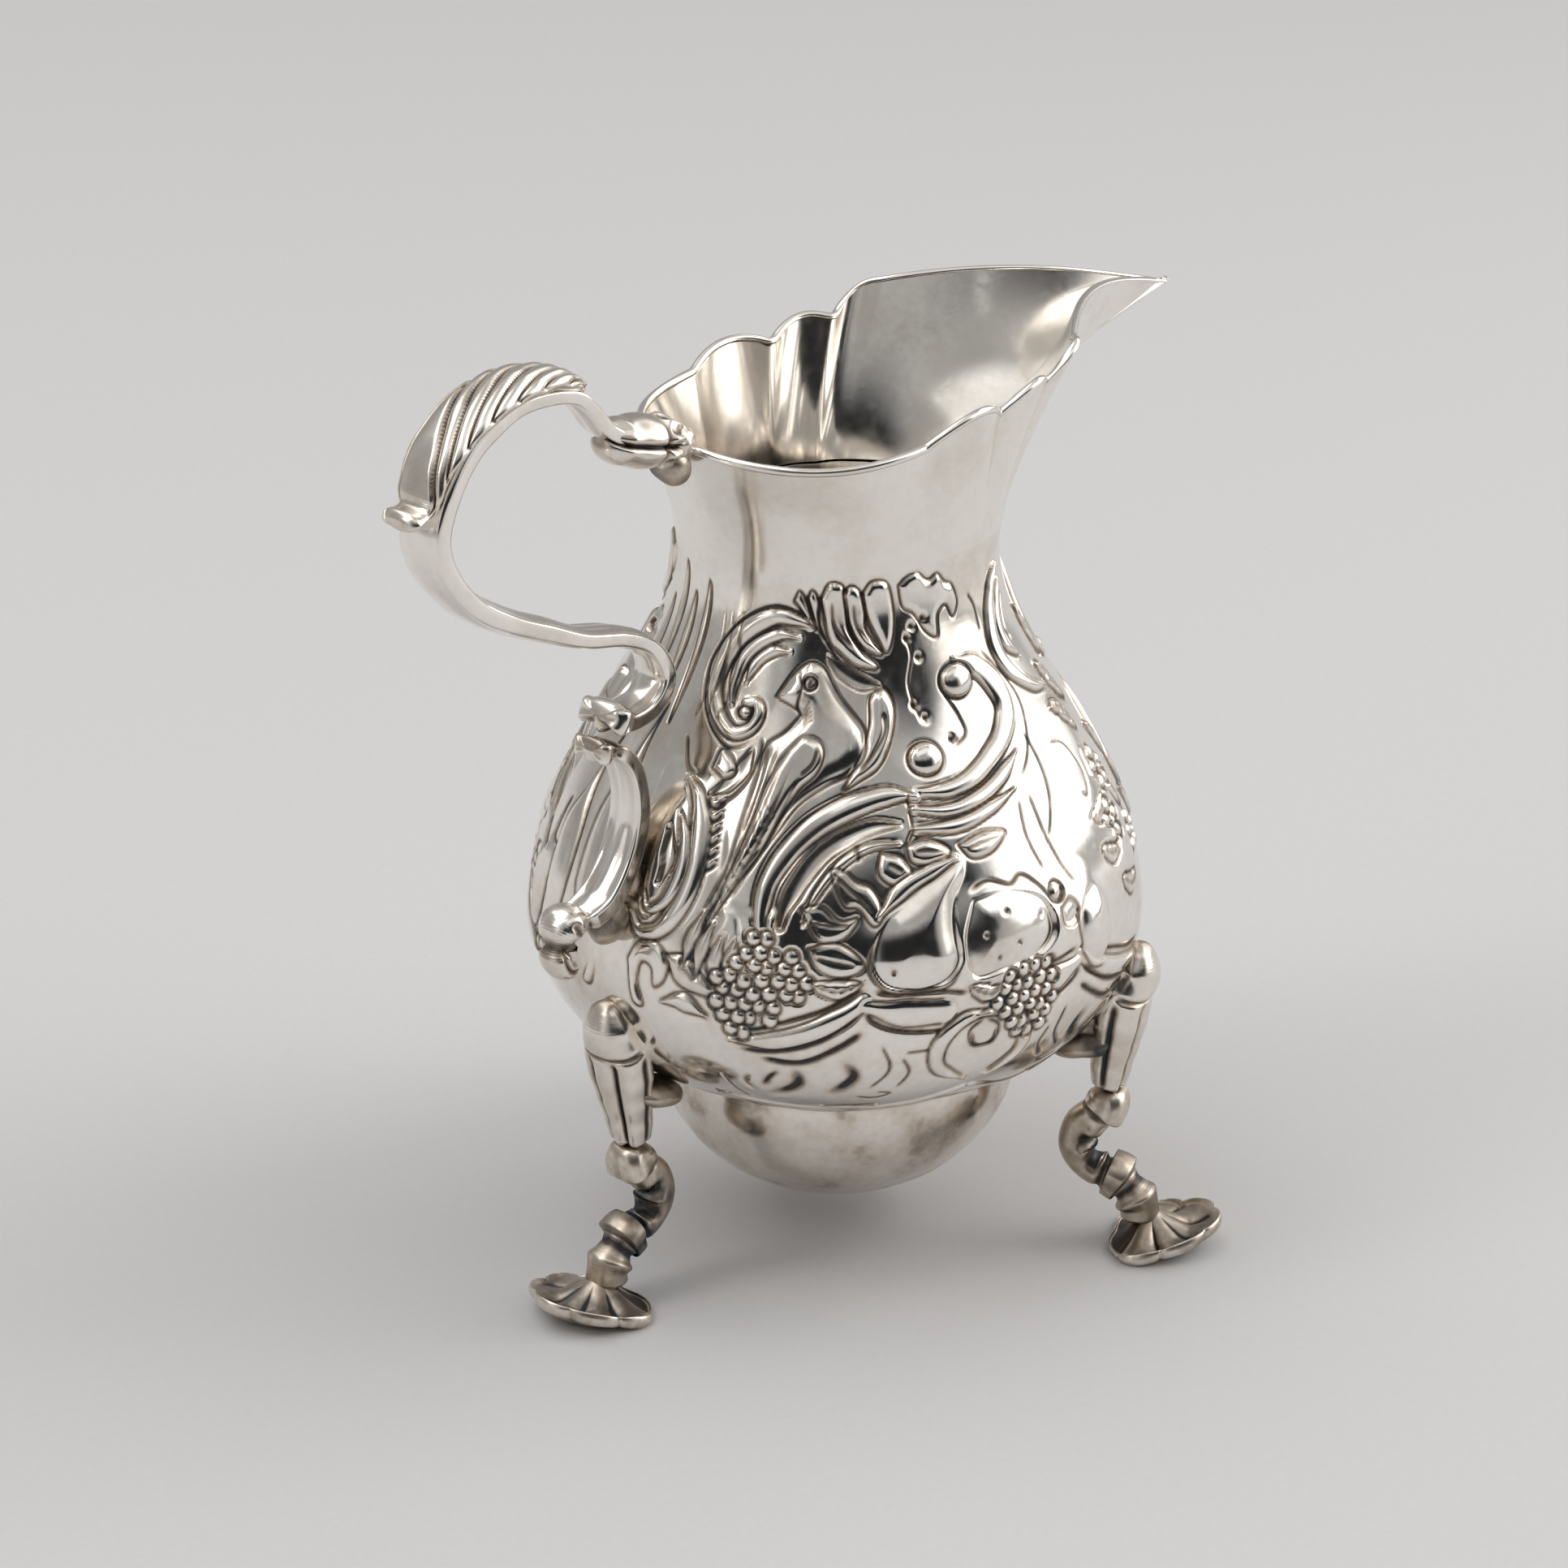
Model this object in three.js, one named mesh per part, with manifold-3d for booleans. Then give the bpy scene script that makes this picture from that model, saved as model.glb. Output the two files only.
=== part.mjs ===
// A three-legged silver cream jug: a raised pear-shaped body with a wavy rim and a drawn-out lip,
// a cast double-scroll handle, and three cast legs with fluted knees and shell feet.
// Millimetres, +Z up, +X towards the lip. Everything is worked out on the body's own upright axis,
// and the whole group is then moved so that the origin is the bottom centre of its box.
import * as THREE from "three";
import { mergeVertices } from "three/addons/utils/BufferGeometryUtils.js";
import Module from "manifold-3d";

const wasm = await Module();
wasm.setup();

// ---- driving dimensions -------------------------------------------------------------------
const wall = 0.8; // thickness of the raised sheet
const joint = 0.3; // clearance kept between neighbouring pieces

const bowlBottom = 3.9; // lowest point of the plain bowl above the table
const bowlRadius = 22.0;
const bowlTop = 22.0; // where the bowl turns upright
const ledgeLow = 23.3; // underside of the chased belt
const ledge = { r: 24.0, z: 24.8 }; // lower edge of the chased belt
const belly = { r: 36.8, z: 40.5 }; // widest place
const neck = { r: 18.9, z: 87.0 }; // narrowest place
const rim = { r: 23.2, z: 103.3 }; // plain rim, before it is waved and drawn out
const flareStart = 83.0; // the rim's waves and the lip fade out below this height
const flarePower = 1.9; // how late the flare sets in: higher bends nearer the rim
const lipDelay = 0.9; // how much later still it sets in under the lip

// The rim's half outline from the handle round to the lip's tip. Each station says at which angle
// round the body it stands and where the edge passes, with its height over the plain rim; each bow
// is the middle of the arc to the next.
const rimStations = [
  { turn: 180, x: -24.4, y: 0, z: 0.7, bow: [-18.2, 14.4, -0.4] },
  { turn: 102, x: -5.0, y: 19.6, z: 0.7, bow: [1.6, 21.0, 2.6] },
  { turn: 72, x: 7.4, y: 19.0, z: 1.7, bow: [12.4, 19.8, 3.4] },
  { turn: 54, x: 16.2, y: 17.6, z: 3.0, bow: [20.2, 18.2, 5.5] },
  { turn: 42, x: 23.0, y: 16.2, z: 7.5, bow: [38.0, 6.0, 6.3] },
  { turn: 0, x: 56.0, y: 0, z: 2.3 },
];

const legTurns = { rear: 180, left: 60, right: -60 }; // places of the legs round the body
const kneeOverhang = 2.0; // how far the knee stands proud of the widest place
const kneeFront = belly.r + kneeOverhang;
const collarRadius = kneeFront - 4.9; // distance of the leg's collar from the body's axis
const collarHeight = 18.2;
const footCentre = collarRadius + 5.5; // distance of the shell foot's centre from the body's axis
const ankle = { r: footCentre - 1.6, z: 5.0 };
const footSide = 7.4; // radius of the shell across
const footToe = 8.6; // radius of the shell outwards
const footHeel = 4.6; // radius of the shell towards the body
const footThickness = 1.0;
const toeLift = 3.8; // how far the shell's outer edge curls up
const footPad = 0.58; // share of the shell's radius that rests flat
const shellFlutes = 7;
const shellSpan = 200; // degrees that the flutes fan over
const scallopDepth = 0.45; // how far each flute's edge bows out

const handleSeat = belly.z + 9.5; // height of the handle's lower seat on the body
const handleRise = 53.3; // height from that seat to the plain rim that the handle is drawn for
const handleWidth = 3.3; // half the width of the upper scroll at its broadest
const handleDepth = 1.7; // half its thickness
const leafThickness = 1.0;
const leafOverhang = 0.9; // how far the leaf is wider than the scroll it lies on
const budRadius = 4.0;
const budLength = 6.4;
const ballRadius = 2.5;
const solderRadius = 2.6;

// ---- geometry helpers ---------------------------------------------------------------------
const radians = THREE.MathUtils.degToRad;

/** Rows of points, each a closed ring of the same length, closed at both ends by a centre point. */
function ringsToGeometry(rings, first, last) {
  const n = rings[0].length;
  const points = [first, ...rings.flat(), last];
  const at = (row, k) => 1 + row * n + (((k % n) + n) % n);
  const faces = [];
  for (let k = 0; k < n; k++) faces.push(0, at(0, k + 1), at(0, k));
  for (let row = 0; row + 1 < rings.length; row++)
    for (let k = 0; k < n; k++) {
      faces.push(at(row, k), at(row, k + 1), at(row + 1, k));
      faces.push(at(row, k + 1), at(row + 1, k + 1), at(row + 1, k));
    }
  const end = rings.length - 1;
  for (let k = 0; k < n; k++) faces.push(at(end, k), at(end, k + 1), points.length - 1);
  return new THREE.BufferGeometry().setFromPoints(points).setIndex(faces);
}

/** A closed geometry as a manifold-3d solid, turned the right way out. */
function solid(geometry) {
  const plain = new THREE.BufferGeometry().setAttribute("position", geometry.getAttribute("position"));
  if (geometry.index) plain.setIndex(geometry.index);
  const merged = mergeVertices(plain, 1e-4);
  const all = merged.index.array;
  const kept = [];
  for (let i = 0; i < all.length; i += 3) {
    const [a, b, c] = [all[i], all[i + 1], all[i + 2]];
    if (a !== b && b !== c && a !== c) kept.push(a, b, c);
  }
  const build = (order) =>
    new wasm.Manifold(
      new wasm.Mesh({
        numProp: 3,
        vertProperties: Float32Array.from(merged.attributes.position.array),
        triVerts: Uint32Array.from(order),
      }),
    );
  const made = build(kept);
  if (made.volume() > 0) return made;
  const turned = [];
  for (let i = 0; i < kept.length; i += 3) turned.push(kept[i], kept[i + 2], kept[i + 1]);
  return build(turned);
}

/** A manifold-3d solid as a geometry; only its largest body is kept after a cut. */
function geometryOf(made) {
  const bodies = made.decompose().sort((a, b) => b.volume() - a.volume());
  const mesh = bodies[0].getMesh();
  const points = [];
  for (let i = 0; i < mesh.numVert; i++)
    points.push(new THREE.Vector3().fromArray(mesh.vertProperties, i * mesh.numProp));
  return new THREE.BufferGeometry().setFromPoints(points).setIndex(Array.from(mesh.triVerts));
}

/** The value at share t of a list of evenly spaced values, blended smoothly between neighbours. */
function along(values, t) {
  const place = t * (values.length - 1);
  const k = Math.min(Math.floor(place), values.length - 2);
  return THREE.MathUtils.lerp(values[k], values[k + 1], THREE.MathUtils.smoothstep(place - k, 0, 1));
}

/**
 * A tapering bar that follows a path in the XZ plane. Its section is an ellipse, `across` wide
 * along Y and `deep` thick in the plane, both given as half sizes at even shares of the path.
 */
function sweep(path, across, deep, { grow = 0, steps = 16, sides = 10 } = {}) {
  const curve = new THREE.CatmullRomCurve3(path.map(([x, z]) => new THREE.Vector3(x, 0, z)));
  const sideways = new THREE.Vector3(0, 1, 0);
  const rings = [];
  for (let i = 0; i <= steps; i++) {
    const t = i / steps;
    const centre = curve.getPointAt(t);
    const tangent = curve.getTangentAt(t);
    if (i === 0) centre.addScaledVector(tangent, -grow);
    if (i === steps) centre.addScaledVector(tangent, grow);
    const outwards = new THREE.Vector3().crossVectors(sideways, tangent);
    const ring = [];
    for (let k = 0; k < sides; k++) {
      const a = (2 * Math.PI * k) / sides;
      const point = centre.clone();
      point.addScaledVector(sideways, (along(across, t) + grow) * Math.cos(a));
      point.addScaledVector(outwards, (along(deep, t) + grow) * Math.sin(a));
      ring.push(point);
    }
    rings.push(ring);
  }
  const middle = (ring) => ring.reduce((sum, p) => sum.add(p), new THREE.Vector3()).divideScalar(ring.length);
  return solid(ringsToGeometry(rings, middle(rings[0]), middle(rings[steps])));
}

/** An ellipsoid with half sizes sx, sy, sz, tilted by `tilt` degrees about Y. */
function ellipsoid([x, y, z], [sx, sy, sz], tilt = 0, grow = 0) {
  const ball = new THREE.SphereGeometry(1, 12, 7);
  ball.scale(sx + grow, sy + grow, sz + grow);
  ball.rotateY(radians(tilt));
  ball.translate(x, y, z);
  return solid(ball);
}

/** A solid turned about Z by an angle in degrees. */
function turned(made, degrees) {
  const geometry = geometryOf(made);
  geometry.rotateZ(radians(degrees));
  return solid(geometry);
}

// ---- the body -----------------------------------------------------------------------------
const pt = (r, z) => new THREE.Vector2(r, z);
const bellyPull = 20.1; // length of the upright tangent above the belly
const neckPull = 14.2; // length of the upright tangent below the neck
const beltPull = 2.0; // length of the upright tangent below the belly
const flarePull = 5.4; // length of the upright tangent above the neck
const profileCurves = [
  [new THREE.EllipseCurve(0, bowlTop, bowlRadius, bowlTop - bowlBottom, -Math.PI / 2, 0), 6],
  [new THREE.LineCurve(pt(bowlRadius, bowlTop), pt(bowlRadius, ledgeLow)), 1],
  [new THREE.LineCurve(pt(bowlRadius, ledgeLow), pt(ledge.r, ledge.z)), 1],
  [
    new THREE.CubicBezierCurve(
      pt(ledge.r, ledge.z),
      pt(belly.r - 0.8, ledge.z + 3.6),
      pt(belly.r, belly.z - beltPull),
      pt(belly.r, belly.z),
    ),
    4,
  ],
  [
    new THREE.CubicBezierCurve(
      pt(belly.r, belly.z),
      pt(belly.r, belly.z + bellyPull),
      pt(neck.r, neck.z - neckPull),
      pt(neck.r, neck.z),
    ),
    6,
  ],
  [
    new THREE.CubicBezierCurve(
      pt(neck.r, neck.z),
      pt(neck.r, neck.z + flarePull),
      pt(rim.r - 2.0, rim.z - 5.2),
      pt(rim.r, rim.z),
    ),
    6,
  ],
];
const profile = profileCurves.flatMap(([curve, n], i) =>
  Array.from({ length: i ? n : n + 1 }, (_, k) => curve.getPoint((k + (i ? 1 : 0)) / n)),
);

/** Where the finished rim passes at an angle round the body, in degrees from the lip. */
function rimPoint(degrees) {
  const side = Math.sign(degrees) || 1;
  const turn = Math.abs(degrees);
  const i = rimStations.findIndex((s, k) => k > 0 && turn >= s.turn);
  const a = rimStations[i - 1];
  const b = rimStations[i];
  const t = (a.turn - turn) / (a.turn - b.turn);
  const start = new THREE.Vector3(a.x, a.y, a.z);
  const end = new THREE.Vector3(b.x, b.y, b.z);
  const pull = new THREE.Vector3(...a.bow).multiplyScalar(2);
  pull.addScaledVector(start, -0.5).addScaledVector(end, -0.5);
  const point = new THREE.QuadraticBezierCurve3(start, pull, end).getPoint(t);
  point.y *= side;
  point.z += rim.z;
  return point;
}

const columns = 60; // facets round the body: the rim's stations fall on them

/** The outer skin as rows of rings, waved and drawn out towards the rim. */
function outerSkin() {
  return profile.slice(1).map(({ x: r, y: z }) =>
    Array.from({ length: columns }, (_, k) => {
      const degrees = (360 * k) / columns - (k > columns / 2 ? 360 : 0);
      const out = new THREE.Vector3(Math.cos(radians(degrees)), Math.sin(radians(degrees)), 0);
      const plain = out.clone().multiplyScalar(r).setZ(z);
      const plainRim = out.clone().multiplyScalar(rim.r).setZ(rim.z);
      const power = flarePower + lipDelay * Math.max(0, out.x) ** 2;
      const share = Math.max(0, (z - flareStart) / (rim.z - flareStart)) ** power;
      return plain.addScaledVector(rimPoint(degrees).sub(plainRim), share);
    }),
  );
}

/** The same rings moved along the skin's outward normal by a distance. */
function offset(rings, distance) {
  const n = columns;
  return rings.map((ring, row) =>
    ring.map((point, k) => {
      const up = rings[Math.min(row + 1, rings.length - 1)][k].clone();
      up.sub(row ? rings[row - 1][k] : new THREE.Vector3(0, 0, bowlBottom));
      const round = ring[(k + 1) % n].clone().sub(ring[(k + n - 1) % n]);
      const normal = round.cross(up).normalize();
      return point.clone().addScaledVector(normal, distance);
    }),
  );
}

const skin = outerSkin();
const bottom = (z) => new THREE.Vector3(0, 0, z);
const body = solid(
  ringsToGeometry([...skin, ...offset(skin, -wall).reverse()], bottom(bowlBottom), bottom(bowlBottom + wall)),
);

// The body with its clearance, as one lump: what every neighbouring piece is cut back from.
const raised = (ring, height) => ring.map((point) => point.clone().setZ(point.z + height));
const bodyAndSpace = solid(
  ringsToGeometry(
    [
      ...offset(skin, joint),
      raised(offset(skin, joint).at(-1), joint),
      raised(skin.at(-1), 1.5 * joint),
      raised(offset(skin, -wall).at(-1), 1.5 * joint),
    ],
    bottom(bowlBottom - joint),
    bottom(rim.z),
  ),
);

// ---- the handle ---------------------------------------------------------------------------
const back = skin.map((ring) => ring[columns / 2]);

/** How far the body's back stands from its axis at a height. */
function backRadius(z) {
  const i = Math.max(1, back.findIndex((point) => point.z >= z));
  if (z >= back.at(-1).z) return -back.at(-1).x;
  const [low, high] = [back[i - 1], back[i]];
  return -THREE.MathUtils.lerp(low.x, high.x, (z - low.z) / (high.z - low.z));
}

const stretch = (rim.z - handleSeat) / handleRise;

/** An outline of the handle: points give the distance behind the body's back and the height over the seat. */
const behind = (outline) =>
  outline.map(([out, up]) => {
    const z = handleSeat + up * stretch;
    return [-(backRadius(z) + out), z];
  });

const upperPath = behind([
  [8.8, 57.2],
  [12.4, 59.4],
  [15, 62.6],
  [17.6, 64.6],
  [22, 65.4],
  [27.2, 65],
  [32.2, 62.6],
  [36, 58.6],
  [38.3, 53.4],
  [39.1, 48.8],
  [37.2, 44.4],
  [32.9, 41],
  [27.7, 38.4],
  [22.3, 36],
  [15.8, 34.4],
  [10.9, 32],
  [7.9, 28.2],
  [8.7, 25.2],
  [12.1, 24.4],
  [15.9, 25.6],
]);
const w = handleWidth;
const upperAcross = [2.2, 2.1, 2.2, 0.85 * w, w, w, 0.95 * w, 0.8 * w, 0.75 * w, 0.7 * w, 0.8 * w, 0.9 * w];
const d = handleDepth;
const upperDeep = [1.2, 1.1, 1.2, d, d, d, d, 0.9 * d, 0.75 * d, 0.75 * d, 0.8 * d, 0.8 * d];
const upperScroll = (grow) => sweep(upperPath, upperAcross, upperDeep, { grow, steps: 34 });

const lowerPath = behind([
  [15.2, 21.6],
  [11.5, 20.9],
  [7, 17.6],
  [3.6, 12.6],
  [2.3, 7.4],
  [3.7, 3],
  [6.6, 1.2],
]);
const lowerScroll = (grow) =>
  sweep(lowerPath, [2.7, 2.3, 2.0, 2.0, 2.1, 2.4, 2.4], [1.0, 1.1, 1.3, 1.4, 1.5, 1.5, 1.3], { grow });

const dropPath = behind([
  [6.8, 2.2],
  [9.4, 1.2],
  [9.8, -1.2],
  [8.4, -3.6],
  [6.1, -4.4],
]);
const drop = (grow) =>
  sweep(dropPath, [2.4, 2.9, 2.4, 2.2, 1.4], [1.2, 1.8, 1.7, 1.5, 1.0], { grow, steps: 12 });

// The leaf lies on the outside of the upper scroll, from its crown to the curled tip.
const leafPath = behind([
  [15.8, 65.4],
  [20.2, 67.2],
  [26.4, 67.3],
  [32.2, 65.2],
  [37, 61.2],
  [39.2, 56.6],
  [41.6, 55.4],
]);
const leafAcross = [0.7, 1, 1, 1, 0.95, 0.8, 0.45].map((share) => share * (w + leafOverhang));
const leafDeep = [0.8, 1.3, 1.5, 1.5, 1.3, 0.9, 0.9].map((share) => share * leafThickness);

const rimBack = back.at(-1);
const budCentre = [rimBack.x - 6.5, 0, rimBack.z + 2.4];
const ballCentre = [rimBack.x - 1.0, 0, rimBack.z + 1.0];
const budTilt = 14; // degrees, the rim end lower
const bud = (grow) =>
  ellipsoid(budCentre, [budLength, budRadius, 0.8 * budRadius], budTilt, grow).add(
    ellipsoid(ballCentre, [ballRadius, ballRadius, ballRadius], 0, grow),
  );
const budSpace = bud(joint);

// ---- one leg, in the XZ plane with X outwards from the body's axis ---------------------------
const kneePath = [
  [belly.r + 0.6, belly.z - 1.0],
  [belly.r + 0.5, belly.z - 3.6],
  [kneeFront - 2.8, belly.z - 7.4],
  [kneeFront - 3.6, belly.z - 11.6],
  [collarRadius + 0.5, collarHeight + 6.0],
  [collarRadius, collarHeight + 2.2],
];
const knee = (grow) =>
  sweep(kneePath, [1.0, 2.2, 4.1, 4.0, 3.2, 2.4], [0.9, 1.9, 2.8, 3.2, 2.6, 2.0], { grow, steps: 12 });

const stalkPath = [
  [collarRadius, collarHeight + 1.9],
  [collarRadius, collarHeight],
  [collarRadius - 1.2, collarHeight - 2.0],
  [collarRadius - 3.1, collarHeight - 3.8],
  [collarRadius - 3.6, collarHeight - 6.8],
  [ankle.r - 5.4, ankle.z + 4.0],
  [ankle.r - 1.8, ankle.z + 2.4],
  [ankle.r + 0.2, ankle.z],
  [ankle.r + 0.6, ankle.z - 2.4],
];
const stalk = (grow) =>
  sweep(
    stalkPath,
    [2.3, 3.4, 2.7, 2.5, 2.6, 2.3, 2.5, 2.3, 2.9, 2.4, 2.5, 2.6],
    [1.9, 3.0, 2.5, 2.4, 2.6, 2.2, 2.4, 2.2, 2.7, 2.2, 2.3, 2.4],
    { grow, steps: 18 },
  );

/** The scallop shell: a fan with a flat pad under its middle and an outer edge that curls up. */
function shellFoot() {
  const turns = 32;
  const shares = [0.3, footPad, 0.8, 1];
  const reach = (a) => {
    const forward = Math.max(0, Math.cos(a));
    const back = Math.max(0, -Math.cos(a));
    const plain = Math.hypot(
      Math.cos(a) * (forward ? footToe : footHeel),
      Math.sin(a) * footSide,
    );
    const scallop = back ? 0 : scallopDepth * Math.abs(Math.cos((shellFlutes * a * 180) / shellSpan));
    return plain + scallop;
  };
  const lift = (a, share) => {
    const raised = toeLift * Math.max(0, Math.cos(a)) ** 1.2;
    return raised * Math.max(0, (share - footPad) / (1 - footPad)) ** 1.4;
  };
  const crown = (share) => (ankle.z - footThickness - 0.4) * (1 - share) ** 1.6;
  const ring = (share, top) =>
    Array.from({ length: turns }, (_, k) => {
      const a = (2 * Math.PI * k) / turns;
      const z = lift(a, share) + (top ? footThickness + crown(share) : 0);
      return new THREE.Vector3(
        footCentre + share * reach(a) * Math.cos(a),
        share * reach(a) * Math.sin(a),
        z,
      );
    });
  const rings = [...shares.map((s) => ring(s, false)), ...[...shares].reverse().map((s) => ring(s, true))];
  const top = footThickness + crown(0.2);
  const middle = (z) => new THREE.Vector3(footCentre, 0, z);
  return solid(ringsToGeometry(rings, middle(0), middle(top)));
}

// Solder that fills the crook behind the knee, under the belt: it reaches from the body to the knee.
const crook = ledge.z + 1.2;
const solderFrom = backRadius(crook) + 2.0;
const solderTo = collarRadius + 1.2;
const solderHalf = [(solderTo - solderFrom) / 2, solderRadius + 1.4, 2.2];
const kneeSolder = ellipsoid([(solderFrom + solderTo) / 2, 0, crook], solderHalf, -30);

// ---- assembly -------------------------------------------------------------------------------
const jug = new THREE.Group();

/** Adds one piece to the jug as a named mesh with its own material. */
function addPiece(name, made, colour, roughness) {
  const material = new THREE.MeshStandardMaterial({ color: colour, metalness: 1, roughness });
  const mesh = new THREE.Mesh(geometryOf(made), material);
  mesh.name = name;
  jug.add(mesh);
}

const bright = 0xe6e2da;
const worn = 0xc9c3b8;
const toned = 0xa79c8c;
const grey = 0x8d8a85;

const upper = upperScroll(0).subtract(budSpace).subtract(bodyAndSpace);
const lower = lowerScroll(0).subtract(upperScroll(joint)).subtract(bodyAndSpace);
const leaf = sweep(leafPath, leafAcross, leafDeep, { steps: 14 }).subtract(upperScroll(joint));
const dropPiece = drop(0).subtract(lowerScroll(joint)).subtract(bodyAndSpace);
const topSolder = ellipsoid([rimBack.x - 2.0, 0, rimBack.z - 1.6], [solderRadius, solderRadius, 2.0], 50)
  .subtract(budSpace)
  .subtract(bodyAndSpace);
const footSolder = ellipsoid([-backRadius(handleSeat) - 2.0, 0, handleSeat], [2.8, solderRadius, 3.2])
  .subtract(lowerScroll(joint))
  .subtract(drop(joint))
  .subtract(bodyAndSpace);

addPiece("body", body, bright, 0.18);
addPiece("handle_rim_bud", bud(0).subtract(bodyAndSpace), bright, 0.2);
addPiece("handle_upper_scroll", upper, bright, 0.15);
addPiece("handle_leaf", leaf.subtract(budSpace), worn, 0.25);
addPiece("handle_lower_scroll", lower, bright, 0.15);
addPiece("handle_drop", dropPiece, bright, 0.2);
addPiece("handle_top_solder", topSolder, grey, 0.5);
addPiece("handle_foot_solder", footSolder, grey, 0.5);

for (const [side, turn] of Object.entries(legTurns)) {
  const kneePiece = turned(knee(0).subtract(stalk(joint)), turn).subtract(bodyAndSpace);
  const stalkPiece = turned(stalk(0).subtract(shellFoot()), turn).subtract(bodyAndSpace);
  const solder = turned(kneeSolder.subtract(knee(joint)).subtract(stalk(joint)), turn);
  addPiece("knee_" + side, kneePiece, worn, 0.3);
  addPiece("stalk_" + side, stalkPiece, toned, 0.4);
  addPiece("shell_foot_" + side, turned(shellFoot(), turn), toned, 0.4);
  addPiece("knee_solder_" + side, solder.subtract(bodyAndSpace), grey, 0.5);
}

const box = new THREE.Box3().setFromObject(jug, true);
const middle = box.getCenter(new THREE.Vector3());
jug.position.set(-middle.x, 0, -box.min.z);

export default jug;
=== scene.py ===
# %% [markdown]
# # A silver cream jug
# The real jug is raised from one flat disc of silver: hammered up into a pear shape, chased with scrolls, a
# bird and fruit, then given a wavy rim and a drawn-out lip. A cast double-scroll handle and three cast legs
# are soldered on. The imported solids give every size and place; this file only adds the surfaces that the
# eye sees. Lengths below are in millimetres on the body's own upright axis, and become metres when a mesh
# is made.

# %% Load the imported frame
import bpy
import numpy as np
from mathutils import Matrix, Vector


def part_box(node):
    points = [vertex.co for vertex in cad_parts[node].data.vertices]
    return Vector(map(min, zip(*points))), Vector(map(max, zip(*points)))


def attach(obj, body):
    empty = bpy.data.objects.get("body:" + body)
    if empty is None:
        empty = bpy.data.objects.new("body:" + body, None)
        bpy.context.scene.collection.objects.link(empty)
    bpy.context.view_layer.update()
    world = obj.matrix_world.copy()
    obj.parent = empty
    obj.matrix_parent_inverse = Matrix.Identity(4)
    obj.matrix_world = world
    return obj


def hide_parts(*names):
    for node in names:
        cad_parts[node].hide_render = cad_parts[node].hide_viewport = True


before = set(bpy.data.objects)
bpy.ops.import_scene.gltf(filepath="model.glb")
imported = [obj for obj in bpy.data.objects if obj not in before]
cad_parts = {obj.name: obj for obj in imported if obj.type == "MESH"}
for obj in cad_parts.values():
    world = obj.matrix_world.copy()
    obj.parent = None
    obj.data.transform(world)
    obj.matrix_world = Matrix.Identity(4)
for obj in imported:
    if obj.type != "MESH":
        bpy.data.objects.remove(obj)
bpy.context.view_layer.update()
MM = 0.001

# %% [markdown]
# ## Finding the body's axis
# The belly is round, so its width gives its radius, and the axis stands one radius in from the back of the
# belly.

# %% The body's axis
body_low, body_high = (np.array(corner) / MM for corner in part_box("body"))
BELLY_R = (body_high[1] - body_low[1]) / 2
AXIS = np.array([body_low[0] + BELLY_R, 0.0, 0.0])
print("belly radius", round(BELLY_R, 2), "axis at x =", round(AXIS[0], 2))

# %% [markdown]
# ## Small helpers for curves
# Every surface below is a grid of points: rows follow a profile or a path, and columns go round it.
# Working on whole arrays keeps the formulas short, and lets each surface be as fine as it needs to be.


# %% Curve helpers
def bezier(points, count):
    """Cubic Bezier: the four points weighted by (1-t)^3, 3(1-t)^2 t, 3(1-t) t^2 and t^3."""
    a, b, c, d = np.array(points, float)
    t = np.linspace(0, 1, count)[:, None]
    return (1 - t) ** 3 * a + 3 * (1 - t) ** 2 * t * b + 3 * (1 - t) * t**2 * c + t**3 * d


def smooth(x, low, high):
    """0 below low and 1 above high, with the cubic 3t^2 - 2t^3 between."""
    t = np.clip((x - low) / (high - low), 0, 1)
    return t * t * (3 - 2 * t)


def run_length(line):
    """Distance along a line up to each of its points: the sum of the steps before it."""
    return np.concatenate([[0], np.cumsum(np.linalg.norm(np.diff(line, axis=0), axis=1))])


def resample(line, count):
    """The same line with evenly spaced points, read at equal steps of the distance along it."""
    run = run_length(line)
    even = np.linspace(0, run[-1], count)
    return np.stack([np.interp(even, run, line[:, k]) for k in range(line.shape[1])], 1)


def spline(points, count):
    """A smooth line through all the points, in equal steps along its length.

    Between b and c, with a before and d after, it is the Catmull-Rom cubic
    (2b + (c-a) t + (2a-5b+4c-d) t^2 + (3b-a-3c+d) t^3) / 2.
    """
    p = np.array(points, float)
    p = np.vstack([2 * p[0] - p[1], p, 2 * p[-1] - p[-2]])
    t = np.linspace(0, 1, 13)[:-1, None]
    pieces = [
        0.5 * (2 * b + (c - a) * t + (2 * a - 5 * b + 4 * c - d) * t**2 + (3 * b - a - 3 * c + d) * t**3)
        for a, b, c, d in zip(p[:-3], p[1:-2], p[2:-1], p[3:])
    ]
    return resample(np.vstack([*pieces, p[-2:-1]]), count)


def along(values, share):
    """Evenly spaced values read at a share from 0 to 1, eased between neighbours."""
    values = np.array(values, float)
    place = np.clip(share, 0, 1) * (len(values) - 1)
    k = np.minimum(place.astype(int), len(values) - 2)
    return values[k] + (values[k + 1] - values[k]) * smooth(place - k, 0, 1)

# %% [markdown]
# ## From a grid to a mesh
# A grid wraps round its columns. It is closed either by wrapping its rows too, as a ring is, or by a point
# at each end. Normals are worked out from the grid itself and stored, so neighbouring pieces shade as one
# surface.


# %% Grid to mesh
def grid_normals(points, wrap_rows):
    """Cross product of the steps along a row and across the rows, made one unit long."""
    step_round = np.roll(points, -1, 1) - np.roll(points, 1, 1)
    if wrap_rows:
        step_up = np.roll(points, -1, 0) - np.roll(points, 1, 0)
    else:
        step_up = np.gradient(points, axis=0)
    normal = np.cross(step_round, step_up)
    return normal / np.maximum(np.linalg.norm(normal, axis=2, keepdims=True), 1e-12)


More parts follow.
